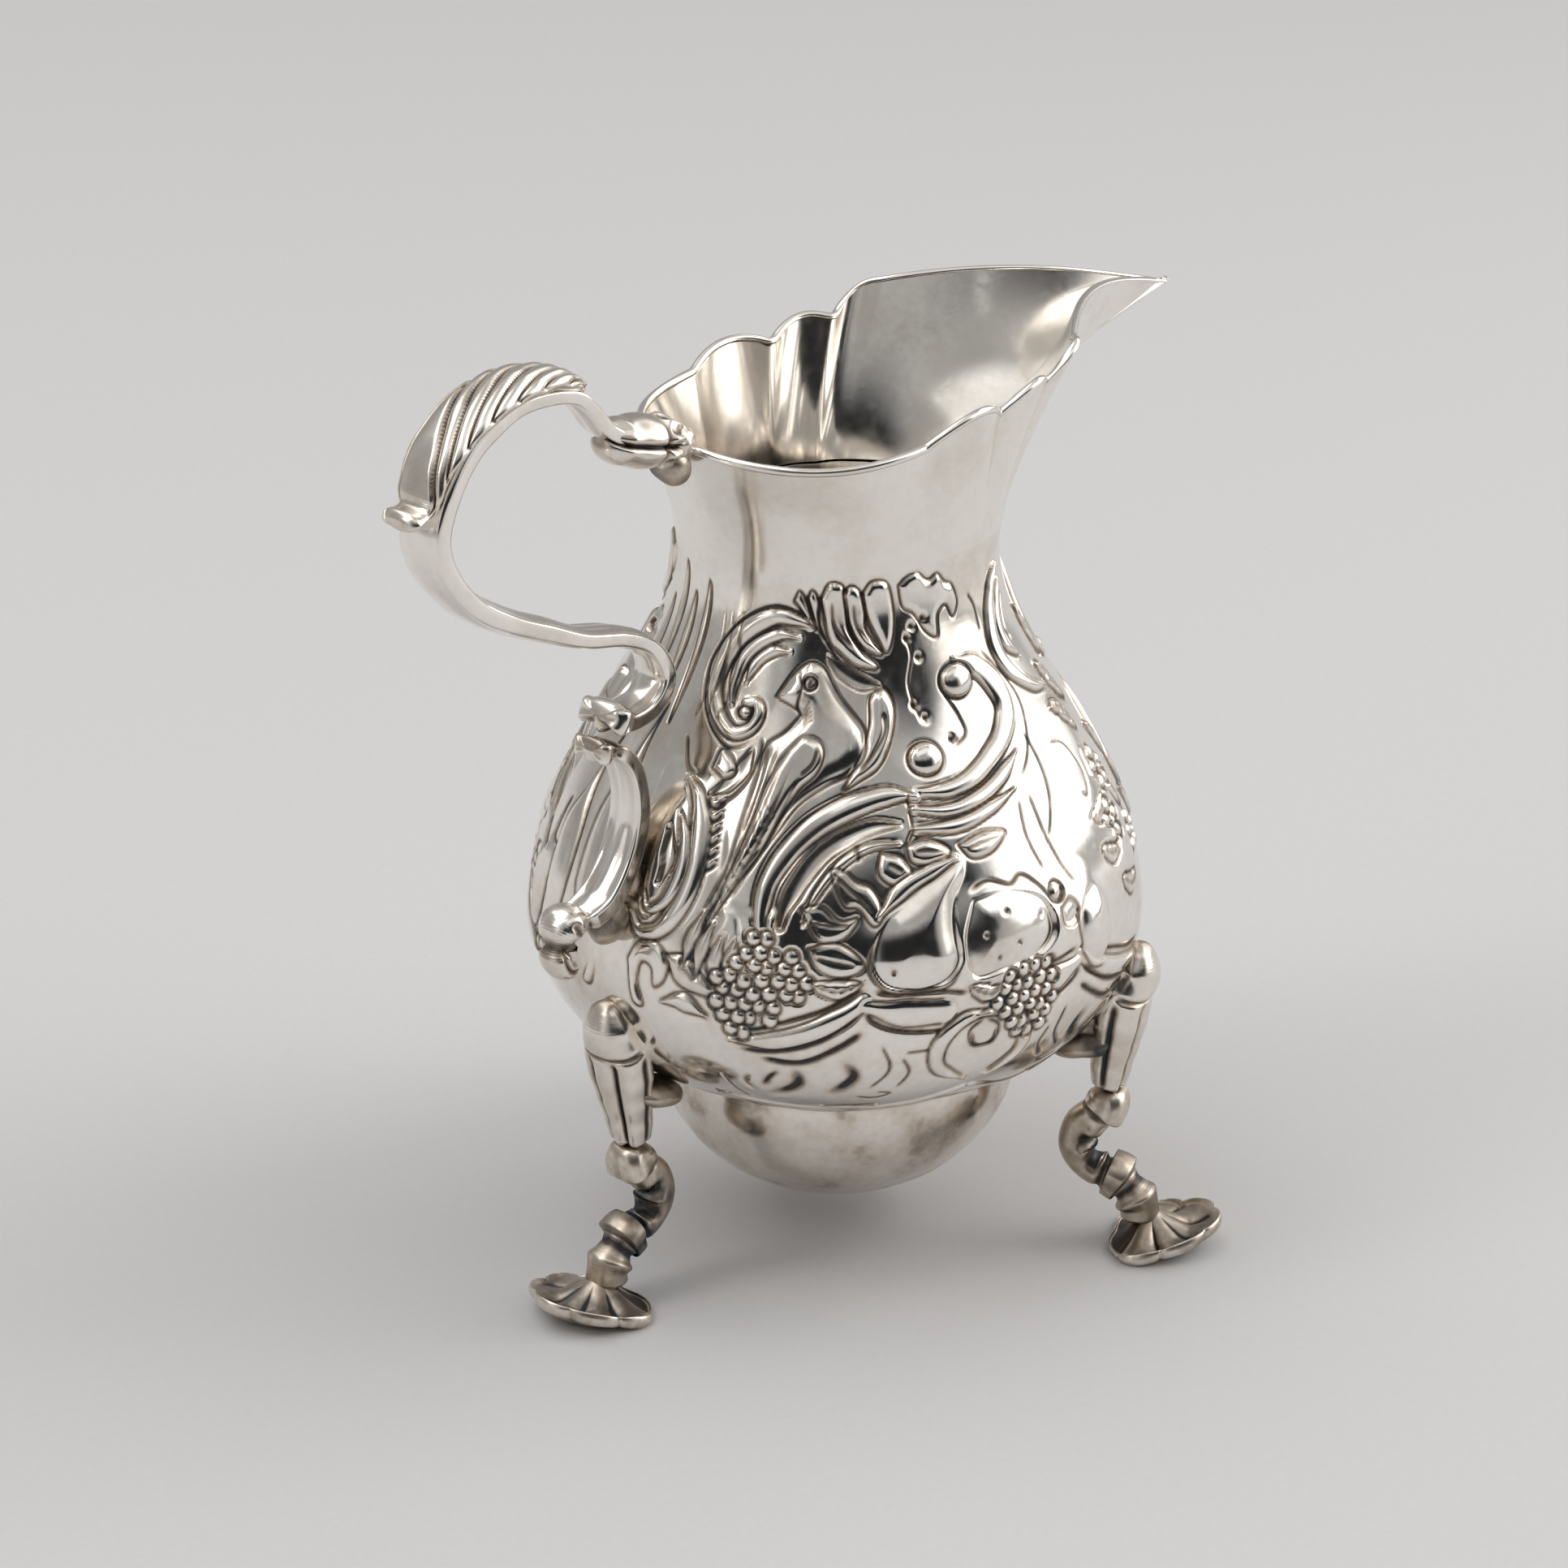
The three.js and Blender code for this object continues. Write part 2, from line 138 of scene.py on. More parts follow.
def mesh_from_grid(name, points, ring=False, normals=None, tone=None):
    """Faces of four corners join two neighbours in a row to the two beside them in the next row.

    points is rows x columns x 3 in mm. ring wraps the rows; otherwise each end closes on its middle point,
    with triangles. tone is kept as an attribute, one value for each point.
    """
    rows, cols = points.shape[:2]
    number = np.arange(rows * cols).reshape(rows, cols)
    low = number if ring else number[:-1]
    high = np.roll(number, -1, 0) if ring else number[1:]
    quads = np.stack([low, np.roll(low, -1, 1), np.roll(high, -1, 1), high], -1).reshape(-1, 4)
    corners = [quads.ravel()]
    sizes = [np.full(len(quads), 4)]
    coords = points.reshape(-1, 3)
    if normals is None:
        normals = grid_normals(points, ring)
    normals = normals.reshape(-1, 3)
    tones = np.zeros(len(coords)) if tone is None else np.broadcast_to(tone, (rows, cols)).ravel()
    if not ring:
        first, last = len(coords), len(coords) + 1
        coords = np.vstack([coords, points[0].mean(0), points[-1].mean(0)])
        ends = np.cross(points[0, 1] - coords[first], points[0, 0] - coords[first])
        other = np.cross(points[-1, 0] - coords[last], points[-1, 1] - coords[last])
        normals = np.vstack([normals, ends / np.linalg.norm(ends), other / np.linalg.norm(other)])
        tones = np.concatenate([tones, [tones[0], tones[-1]]])
        a, b = number[0], np.roll(number[0], -1)
        corners.append(np.stack([np.full(cols, first), b, a], 1).ravel())
        a, b = number[-1], np.roll(number[-1], -1)
        corners.append(np.stack([np.full(cols, last), a, b], 1).ravel())
        sizes += [np.full(cols, 3)] * 2
    corner, size = np.concatenate(corners), np.concatenate(sizes)
    mesh = bpy.data.meshes.new(name)
    mesh.vertices.add(len(coords))
    mesh.vertices.foreach_set("co", ((coords + AXIS) * MM).ravel())
    mesh.loops.add(len(corner))
    mesh.loops.foreach_set("vertex_index", corner.astype(np.int32))
    mesh.polygons.add(len(size))
    mesh.polygons.foreach_set("loop_start", np.concatenate([[0], np.cumsum(size)[:-1]]).astype(np.int32))
    mesh.polygons.foreach_set("use_smooth", np.ones(len(size), bool))
    mesh.update(calc_edges=True)
    mesh.normals_split_custom_set_from_vertices(normals.tolist())
    mesh.attributes.new("tone", "FLOAT", "POINT").data.foreach_set("value", tones.astype(np.float32))
    return mesh


def add_piece(name, mesh, material, stands_for=()):
    """Adds a finished mesh to the scene, riding on the one body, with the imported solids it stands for."""
    piece = bpy.data.objects.new(name, mesh)
    bpy.context.scene.collection.objects.link(piece)
    mesh.materials.append(material)
    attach(piece, "root")
    if stands_for:
        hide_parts(*stands_for)
    print(f"{name}: {sum(len(p.vertices) - 2 for p in mesh.polygons)} triangles")
    return piece

# %% [markdown]
# ## Silver as a material
# Old silver is a mirror only where it is rubbed. In the hollows of the chasing it keeps a brown-grey bloom,
# and the rubbed parts carry fine scratches. One material recipe makes every finish here: the mesh says
# where the hollows are, through its "tone" attribute, and the recipe turns tone into a darker colour and a
# duller surface. On the bowl, tone and wear also carry painted shade of the underside, along with tarnish.


# %% Shader maths as Python expressions
class Wire:
    """A socket that can be added, subtracted, multiplied, divided and raised, each as one Math node."""

    def __init__(self, recipe, socket):
        self.recipe = recipe
        self.socket = socket

    def maths(self, operation, a, b=0.0):
        return self.recipe.make("ShaderNodeMath", {"operation": operation}, {0: a, 1: b})

    def __add__(self, other):
        return self.maths("ADD", self, other)

    def __sub__(self, other):
        return self.maths("SUBTRACT", self, other)

    def __rsub__(self, other):
        return self.maths("SUBTRACT", other, self)

    def __mul__(self, other):
        return self.maths("MULTIPLY", self, other)

    def __truediv__(self, other):
        return self.maths("DIVIDE", self, other)

    def __pow__(self, other):
        return self.maths("POWER", self, other)

    def clamp(self):
        return self.recipe.make("ShaderNodeClamp", {}, {0: self})

    __radd__ = __add__
    __rmul__ = __mul__


class Recipe:
    """A material, or the world, being put together node by node."""

    def __init__(self, owner):
        owner.use_nodes = True
        self.owner = owner
        self.tree = owner.node_tree
        self.tree.nodes.clear()

    def make(self, kind, settings, values, output=0):
        """Adds a node: its settings first, then each socket's value or link. Returns one output as a Wire."""
        node = self.tree.nodes.new(kind)
        for key, value in settings.items():
            if key == "stops":
                ramp = node.color_ramp
                while len(ramp.elements) < len(value):
                    ramp.elements.new(1.0)
                for element, (place, colour) in zip(ramp.elements, value):
                    element.position = place
                    element.color = (*colour, 1.0)
            else:
                setattr(node, key, value)
        for key, value in values.items():
            if isinstance(value, Wire):
                self.tree.links.new(value.socket, node.inputs[key])
            else:
                node.inputs[key].default_value = value
        return Wire(self, node.outputs[output]) if node.outputs else None

    def noise(self, where, scale, detail=3.0, stretch=None, turn=(0, 0, 0)):
        """Soft noise from 0 to 1; stretch and turn draw it out into brushed lines."""
        if stretch:
            where = self.make("ShaderNodeMapping", {}, {"Vector": where, "Rotation": turn, "Scale": stretch})
        return self.make("ShaderNodeTexNoise", {}, {"Vector": where, "Scale": scale, "Detail": detail}, "Fac")

    def colours(self, share, first, second):
        """A Mix node on colours, from the first to the second as share goes from 0 to 1."""
        return self.make("ShaderNodeMix", {"data_type": "RGBA"}, {"Factor": share, 6: first, 7: second}, 2)


# %% [markdown]
# The recipe's parts, from large to small: cloudy tarnish a centimetre across, mottling a millimetre across,
# and scratches, which are noise stretched thin in three directions. Scratches change the roughness and tilt
# the surface very slightly, so that highlights break up as they do on silver that has been polished for two
# centuries.


# %% The silver recipe
BRIGHT = (0.90, 0.868, 0.82, 1)
WARM = (0.62, 0.535, 0.445, 1)
BROWN = (0.085, 0.058, 0.042, 1)
BLUE_BLACK = (0.045, 0.058, 0.07, 1)
CLOUD_SCALE, MOTTLE_SCALE = 95.0, 900.0
# Each direction of rubbing: noise scale, stretch, turn, and the noise value where a scratch starts.
RUBBINGS = (
    (420.0, (1.0, 1.0, 0.05), (0.3, 0.2, 0.0), 0.62),
    (520.0, (0.05, 1.0, 1.0), (0.0, 0.5, 0.9), 0.64),
    (460.0, (1.0, 0.06, 1.0), (0.8, 0.0, 0.4), 0.64),
)
BUMP_STRENGTH, BUMP_DEPTH = 0.12, 0.00004


def silver(name, wear=0.0, rough=0.13, patch=0.35, depth=1.0):
    """wear darkens all over, as tarnish and on the bowl partly as painted shade; rough is the polished
    roughness, patch the strength of cloudy tarnish.
    """
    recipe = Recipe(bpy.data.materials.new(name))
    where = recipe.make("ShaderNodeTexCoord", {}, {}, "Object")
    tone = recipe.make("ShaderNodeAttribute", {"attribute_name": "tone"}, {}, "Fac")
    cloud = recipe.noise(where, CLOUD_SCALE, 5.0)
    mottle = recipe.noise(where, MOTTLE_SCALE, 4.0)
    first, second, third = (
        ((recipe.noise(where, scale, 2.0, stretch, turn) - start) * 6.0).clamp()
        for scale, stretch, turn, start in RUBBINGS
    )
    scratch = first + second + third
    patches = ((cloud - 0.48) * 4.0).clamp() * patch
    dull = (tone + patches * 0.55 + (mottle - 0.5) * (0.35 * patch + 0.1) + wear).clamp()
    skin_colour = recipe.colours((dull * 2.2).clamp(), BRIGHT, WARM)
    deep_colour = recipe.colours(((cloud - 0.42) * 5.0).clamp(), BROWN, BLUE_BLACK)
    colour = recipe.colours(((dull - 0.32) * (1.5 * depth)).clamp(), skin_colour, deep_colour)
    roughness = (dull * 0.34 + scratch * 0.05 + (mottle - 0.5) * 0.05 + rough).clamp()
    grain = scratch + mottle * 0.6
    bump_sockets = {"Strength": BUMP_STRENGTH, "Distance": BUMP_DEPTH, "Height": grain}
    bump = recipe.make("ShaderNodeBump", {}, bump_sockets, "Normal")
    shader = recipe.make(
        "ShaderNodeBsdfPrincipled",
        {},
        {"Base Color": colour, "Roughness": roughness, "Metallic": 1.0, "Normal": bump},
    )
    recipe.make("ShaderNodeOutputMaterial", {}, {"Surface": shader})
    return recipe.owner


polished = silver("rubbed silver")
chased = silver("chased silver", wear=0.03, rough=0.12, patch=0.55)
# The bowl's extra wear darkens it all over: partly tarnish, partly painted shade of the underside that faces
# the table. Its cloudy patches are tarnish.
bowl_tarnish_and_painted_shade = silver("bowl silver", wear=0.06, rough=0.10, patch=0.75)
cast = silver("cast silver", wear=0.05, rough=0.16, patch=0.5)
toned = silver("toned cast silver", wear=0.24, rough=0.18, patch=0.9)
solder_grey = silver("old solder", wear=0.28, rough=0.22, patch=0.8)
print("materials:", len(bpy.data.materials))

# %% [markdown]
# ## The body's outline
# Half the body's outline, from the middle of the bowl to the rim: a quarter ellipse, a small step where the
# chased belt starts, then three Bezier stretches over the belly, up the neck and out to the rim.

# %% The body's outline
BOWL_Z, BOWL_R, BOWL_TOP = body_low[2], 22.0, 22.0
LEDGE = (24.0, 24.8)
BELLY_Z = 40.5
NECK = (18.9, 87.0)
RIM = (23.2, 103.3)
WALL = 0.8
FLARE_START, FLARE_POWER, LIP_DELAY = 83.0, 1.9, 0.9

quarter = np.linspace(-np.pi / 2, 0, 60)[1:, None]
bowl_line = np.hstack([BOWL_R * np.cos(quarter), BOWL_TOP + (BOWL_TOP - BOWL_Z) * np.sin(quarter)])
step_line = spline([(22.0, 22.0), (22.0, 23.1), (22.5, 23.7), (23.6, 23.9), (24.0, 24.8)], 16)
under_line = bezier([LEDGE, (36.0, 28.4), (BELLY_R, 38.5), (BELLY_R, BELLY_Z)], 80)
over_line = bezier([(BELLY_R, BELLY_Z), (BELLY_R, 60.6), (NECK[0], 72.8), NECK], 240)
neck_line = bezier([NECK, (NECK[0], 92.4), (21.2, 98.1), RIM], 90)


print("outline:", sum(map(len, (bowl_line, step_line, under_line, over_line, neck_line))), "points")

# %% [markdown]
# ## The wavy rim and the lip
# The rim was hammered out of round. Its edge passes through a few places, joined by arcs, and the same half
# is mirrored. Below the rim the waves fade: each point moves by the rim's own shift times a share that
# grows with height, more suddenly under the lip.

# %% The wavy rim
COLUMNS = 1000
turns = np.linspace(-180, 180, COLUMNS, endpoint=False)
rim_places = [(180, -24.4, 0, 0.7), (102, -5.0, 19.6, 0.7), (72, 7.4, 19.0, 1.7), (54, 16.2, 17.6, 3.0)]
rim_places += [(42, 23.0, 16.2, 6.4), (0, 56.0, 0, 2.3)]
rim_bows = [(-18.2, 14.4, -0.4), (1.6, 21.0, 2.6), (12.4, 19.8, 3.4), (20.2, 18.2, 5.2), (38.0, 6.0, 7.0)]
FINE_TURNS = 3600
CORNER_BLUR, BLUR_REACH = 8.0, 60
LIP_POINT, LIP_POINT_HALF = 1.0, 7.0
SCALLOP_ENDS, SCALLOP_RISE, SCALLOP_PULL = (42, 54, 72, 102), 1.1, 0.5


def rim_edge(turn):
    """Quadratic Bezier arcs through each bow's point at t = 1/2, then a short blur so that no corner is left.

    Three more scallops were pulled out of the edge on the -Y side: the sine of the turn, without its sign,
    to the power 0.75, between the ends listed above.
    """
    fine = np.linspace(-180, 180, FINE_TURNS, endpoint=False)
    edge = np.zeros((len(fine), 3))
    for (a, *start), (b, *end), bow in zip(rim_places[:-1], rim_places[1:], rim_bows):
        start, end, bow = np.array(start), np.array(end), np.array(bow)
        pull = 2 * bow - (start + end) / 2
        here = (np.abs(fine) <= a) & (np.abs(fine) >= b)
        t = ((a - np.abs(fine[here])) / (a - b))[:, None]
        edge[here] = (1 - t) ** 2 * start + 2 * t * (1 - t) * pull + t**2 * end
    edge[:, 1] *= np.where(fine < 0, -1, 1)
    edge[:, 2] += RIM[1]
    bell = np.exp(-((np.arange(-BLUR_REACH, BLUR_REACH + 1) / CORNER_BLUR) ** 2))
    bell /= bell.sum()
    padded = np.vstack([edge[-BLUR_REACH:], edge, edge[:BLUR_REACH]])
    edge = np.stack([np.convolve(padded[:, k], bell, "valid") for k in range(3)], 1)
    edge[:, 0] += LIP_POINT * np.exp(-((fine / LIP_POINT_HALF) ** 2))
    lobes = np.abs(np.sin(np.pi * np.interp(-fine, SCALLOP_ENDS, (0, 1, 2, 3)))) ** 0.75
    edge[:, 2] += SCALLOP_RISE * lobes
    edge[:, 1] -= SCALLOP_PULL * lobes
    return np.stack([np.interp(turn, fine, edge[:, k], period=360) for k in range(3)], 1)


rim_line = rim_edge(turns)
round_x, round_y = np.cos(np.radians(turns)), np.sin(np.radians(turns))


def skin(line):
    """The body's smooth outer surface for a stretch of outline: a row for each point, a column for each turn.

    Each point is the round body's, plus the rim's shift from round times a share. The share is the height
    above the flare's start, from 0 to 1 at the rim, to a power that is greater under the lip.
    """
    r, z = line[:, 0, None], line[:, 1, None]
    plain = np.stack([r * round_x, r * round_y, z + 0 * round_x], -1)
    shift = rim_line - np.stack([RIM[0] * round_x, RIM[0] * round_y, RIM[1] + 0 * round_x], -1)
    power = FLARE_POWER + LIP_DELAY * np.maximum(0, round_x) ** 2
    share = (np.maximum(0, z - FLARE_START) / (RIM[1] - FLARE_START)) ** power
    return plain + share[..., None] * shift


print("rim from x", rim_line[:, 0].min().round(1), "to", rim_line[:, 0].max().round(1))

# %% [markdown]
# ## A sheet to draw the chasing on
# The ornament is drawn on half the body, from the lip (0 degrees) back to the handle (180), and mirrored.
# Drawing on a curved belly stretches shapes, so the belly is first unrolled the way a chart of the seas is:
# across is the turn, and up is height measured in steps of one radius. Small circles then stay circles,
# only larger or smaller.

# %% The sheet
CHASED_TOP = 89.5
chase_line = np.vstack([under_line, over_line[1:], neck_line[1:]])
chase_line = chase_line[chase_line[:, 1] <= CHASED_TOP]
ROWS = 352
chase_line = resample(chase_line, ROWS)
chase_r, chase_z = chase_line.T
steps = np.diff(run_length(chase_line))
CHART_R = 30.0
chart_up = np.concatenate([[0], np.cumsum(steps / ((chase_r[1:] + chase_r[:-1]) / 2))]) * CHART_R
HALF = COLUMNS // 2 + 1
half_turns = np.linspace(0, 180, HALF)
chart_across = np.radians(half_turns) * CHART_R
scale_mm = chase_r / CHART_R
height = np.zeros((ROWS, HALF))
shade = np.zeros((ROWS, HALF))
print("chasing:", ROWS, "rows, one step is", round(float(steps.mean()), 3), "mm")


def chart(points):
    """Turns (degree, height) places into places on the flat chart."""
    p = np.array(points, float)
    return np.stack([np.radians(p[:, 0]) * CHART_R, np.interp(p[:, 1], chase_z, chart_up)], 1)


def window(low, high):
    """The rows and columns of the sheet that a box on the chart covers."""
    r0, r1 = np.searchsorted(chart_up, [low[1], high[1]])
    c0, c1 = np.searchsorted(chart_across, [low[0], high[0]])
    return slice(max(r0 - 1, 0), r1 + 1), slice(max(c0 - 1, 0), c1 + 1)


# %% [markdown]
# ## Chasing tools
# On this jug the ground is as smooth as the forms. A form is swelled out softly from behind, then its
# outline is struck from the front with a fine liner, which leaves a thin dark line. So the tools are: a
# form inside a closed outline, a reed or a dish along a line, a boss, a liner and a pit.


# %% Distance from a line
def nearest(line, reach):
    """The rows and columns near a line, and each point's distance from it in mm and share along it."""
    runs = run_length(line) / max(run_length(line)[-1], 1e-9)
    margin = reach / np.interp(line[:, 1], chart_up, scale_mm).min()
    rows, cols = window(line.min(0) - margin, line.max(0) + margin)
    x, y = chart_across[None, cols], chart_up[rows, None]
    best = np.full((y.shape[0], x.shape[1]), 1e9)
    share = np.zeros_like(best)
    for a, b, s0, s1 in zip(line[:-1], line[1:], runs[:-1], runs[1:]):
        d = b - a
        t = np.clip(((x - a[0]) * d[0] + (y - a[1]) * d[1]) / max(d @ d, 1e-12), 0, 1)
        far = np.hypot(x - a[0] - t * d[0], y - a[1] - t * d[1])
        closer = far < best
        best = np.where(closer, far, best)
        share = np.where(closer, s0 + t * (s1 - s0), share)
    return rows, cols, best * scale_mm[rows, None], share


def read_along(values, share):
    """A single number, or a list read along a line at its share."""
    values = np.atleast_1d(np.array(values, float))
    return along(values, share) if len(values) > 1 else values[0] + 0 * share


# %% [markdown]
# A liner is a small blunt chisel, tapped along a line. It leaves a groove with soft sides, which silver
# polish and dirt soon fill, so a struck line is dark as well as deep.

# %% The liner
LINE_WIDTH, LINE_DEPTH = 0.17, 0.15
PAST_EDGE = 0.8


def liner(points, depth=LINE_DEPTH, width=LINE_WIDTH, tone=1.0, count=40, taper=0.12):
    """A struck line: depth times exp(-(distance / width) squared), faded over a share of it at both ends."""
    line = spline(chart(points), count)
    rows, cols, far, share = nearest(line, 3 * width)
    cut = np.exp(-((far / width) ** 2)) * smooth(share, -0.01, taper) * smooth(share, 1.01, 1 - taper)
    height[rows, cols] -= depth * cut
    shade[rows, cols] = np.maximum(shade[rows, cols], tone * cut)


# %% [markdown]
# A reed is a half-round bar, the commonest form on the jug. Its width and height are lists read along the
# line, so that one call can draw a scroll that swells and then runs out. It clears what it crosses, and
# lies on top.


# %% The reed
def reed(points, width, rise, lined=True, count=48, edge=0.7):
    """A low half-round along a line; a negative rise makes it a dish. lined strikes both of its edges."""
    line = spline(chart(points), count)
    rows, cols, far, share = nearest(line, np.max(width) + PAST_EDGE)
    half = np.maximum(read_along(width, share), 0.05)
    s = far / half
    swell = np.clip(1 - s * s, 0, 1) ** edge
    height[rows, cols] = height[rows, cols] * smooth(s, 0.9, 1.15) + read_along(rise, share) * swell
    if lined:
        ends = smooth(share, -0.02, 0.06) * smooth(share, 1.02, 0.94)
        cut = np.exp(-(((far - half) / LINE_WIDTH) ** 2)) * ends
        height[rows, cols] -= LINE_DEPTH * cut
        shade[rows, cols] = np.maximum(shade[rows, cols] * smooth(s, 0.9, 1.0), 0.85 * cut)


# %% [markdown]
# A form is any closed shape that was pushed out from behind. Its height depends only on the distance to its
# own outline, as it does when a sheet is hammered into soft pitch.


# %% The form
def inside(line, x, y):
    """True where a ray from (x, y) to the right crosses the closed line an odd number of times."""
    odd = np.zeros(np.broadcast(x, y).shape, bool)
    for a, b in zip(line[:-1], line[1:]):
        if a[1] != b[1]:
            crosses = (y > min(a[1], b[1])) & (y <= max(a[1], b[1]))
            odd ^= crosses & (x < a[0] + (y - a[1]) * (b[0] - a[0]) / (b[1] - a[1]))
    return odd


def form(outline, rise, soft, lined=True, count=90, keep=0.0):
    """Swells the inside of a closed outline by 1 - (1 - distance / soft) squared, so it is flat past soft mm.

    keep is the share of what was drawn before that stays inside the outline.
    """
    line = spline(chart(list(outline) + [outline[0]]), count)
    rows, cols, far, _ = nearest(line, 1.0)
    within = inside(line, chart_across[None, cols], chart_up[rows, None])
    swell = 1 - (1 - np.clip(np.where(within, far, 0) / soft, 0, 1)) ** 2
    near_edge = smooth(far, 0.5, 0)
    kept = np.where(within, keep + (1 - keep) * near_edge, 1)
    height[rows, cols] = height[rows, cols] * kept + rise * swell
    shade[rows, cols] *= np.where(within, near_edge, 1)
    if lined:
        cut = np.exp(-((far / LINE_WIDTH) ** 2))
        height[rows, cols] -= LINE_DEPTH * cut
        shade[rows, cols] = np.maximum(shade[rows, cols], 0.9 * cut)


# %% [markdown]
# Balls, berries and petals are domes, and seeds are dots from a round punch. Both need only a place and a
# size.


# %% Bosses and pits
def boss(place, half, rise, tilt=0.0, lined=True):
    """A dome: (1 - the squared distance in half sizes) to the power 0.6, ringed by a struck line."""
    centre = chart([place])[0]
    scale = np.interp(centre[1], chart_up, scale_mm)
    margin = (max(half) + PAST_EDGE) / scale
    rows, cols = window(centre - margin, centre + margin)
    x, y = (chart_across[None, cols] - centre[0]) * scale, (chart_up[rows, None] - centre[1]) * scale
    c, s = np.cos(np.radians(tilt)), np.sin(np.radians(tilt))
    far = np.hypot((x * c + y * s) / half[0], (y * c - x * s) / half[1])
    dome = np.clip(1 - far**2, 0, 1) ** 0.6
    height[rows, cols] = height[rows, cols] * smooth(far, 0.95, 1.1) + rise * dome
    ring = np.exp(-(((far - 1.06) * min(half) / LINE_WIDTH) ** 2)) * (1.0 if lined else 0.0)
    height[rows, cols] -= 1.2 * LINE_DEPTH * ring
    shade[rows, cols] = np.maximum(shade[rows, cols] * smooth(far, 0.9, 1.05), 0.95 * ring)


def pit(place, radius=0.42, depth=0.45):
    """A dark dot left by a round punch."""
    centre = chart([place])[0]
    scale = np.interp(centre[1], chart_up, scale_mm)
    rows, cols = window(centre - 4 * radius / scale, centre + 4 * radius / scale)
    far = scale * np.hypot(chart_across[None, cols] - centre[0], chart_up[rows, None] - centre[1])
    hole = np.exp(-((far / radius) ** 2))
    height[rows, cols] -= depth * hole
    shade[rows, cols] = np.maximum(shade[rows, cols], 0.9 * hole)


# %% [markdown]
# Leaves repeat so often that they are a tool of their own, made from a reed and liners.


# %% The leaf
def leaf(spine, width, rise=0.5, veins=4):
    """A pointed leaf about a spine: a reed that widens and closes, a midrib line, and slanted side veins."""
    reed(spine, [0.1, 0.75 * width, width, 0.7 * width, 0.1], rise)
    liner(spine, 0.10, 0.14, 0.6)
    line = spline(np.array(spine, float), 40)
    for k in range(1, veins + 1):
        root = line[int(36 * k / (veins + 1))]
        ahead = line[int(36 * k / (veins + 1)) + 4] - root
        ahead = ahead / np.hypot(ahead[0] * 0.55, ahead[1]) * 0.55 * width
        for hand in (-1, 1):
            tip = root + ahead + hand * 0.5 * np.array([-ahead[1] / 0.55, ahead[0] * 0.55])
            liner([root, (root + tip) / 2 + 0.1 * ahead, tip], 0.07, 0.13, 0.45, 8)


# %% [markdown]
# ## The ornament
# Places are (turn, height): degrees from the lip round to the handle, and mm above the table. Broad swells
# come first, because the finer strokes are laid over them.

# %% Broad swells
SCROLL_RISE = [0.4, 0.6, 0.6, 0.5]


def tell(step_name):
    """Prints how deep and how high the sheet is after a step."""
    print(step_name + ": the sheet goes from", height.min().round(2), "to", height.max().round(2), "mm")


for swell_line, width, rise in (
    ([(150, 44), (146, 50), (140, 56)], 9.0, 0.5),
    ([(136, 73), (142, 68), (150, 60)], 7.0, 0.5),
    ([(122, 48), (104, 49), (84, 48)], 7.5, 0.9),
    ([(172, 63), (169, 56), (172, 50)], 6.0, 0.4),
    ([(108, 72), (94, 72)], 7.0, -0.35),
    ([(66, 62), (62, 52)], 8.0, 0.6),
    ([(20, 76), (24, 62), (16, 48)], 7.0, 0.5),
):
    reed(swell_line, width, rise, lined=False, edge=1.6)
tell("broad swells")

# %% [markdown]
# A belt of hanging folds and crescents closes the chasing at the bottom. The three bays between the legs
# are alike, so one bay is drawn, and a short function shifts or mirrors its places to make the other two.
# The crescents are only struck lines, because on the real jug they are cuts and not forms.

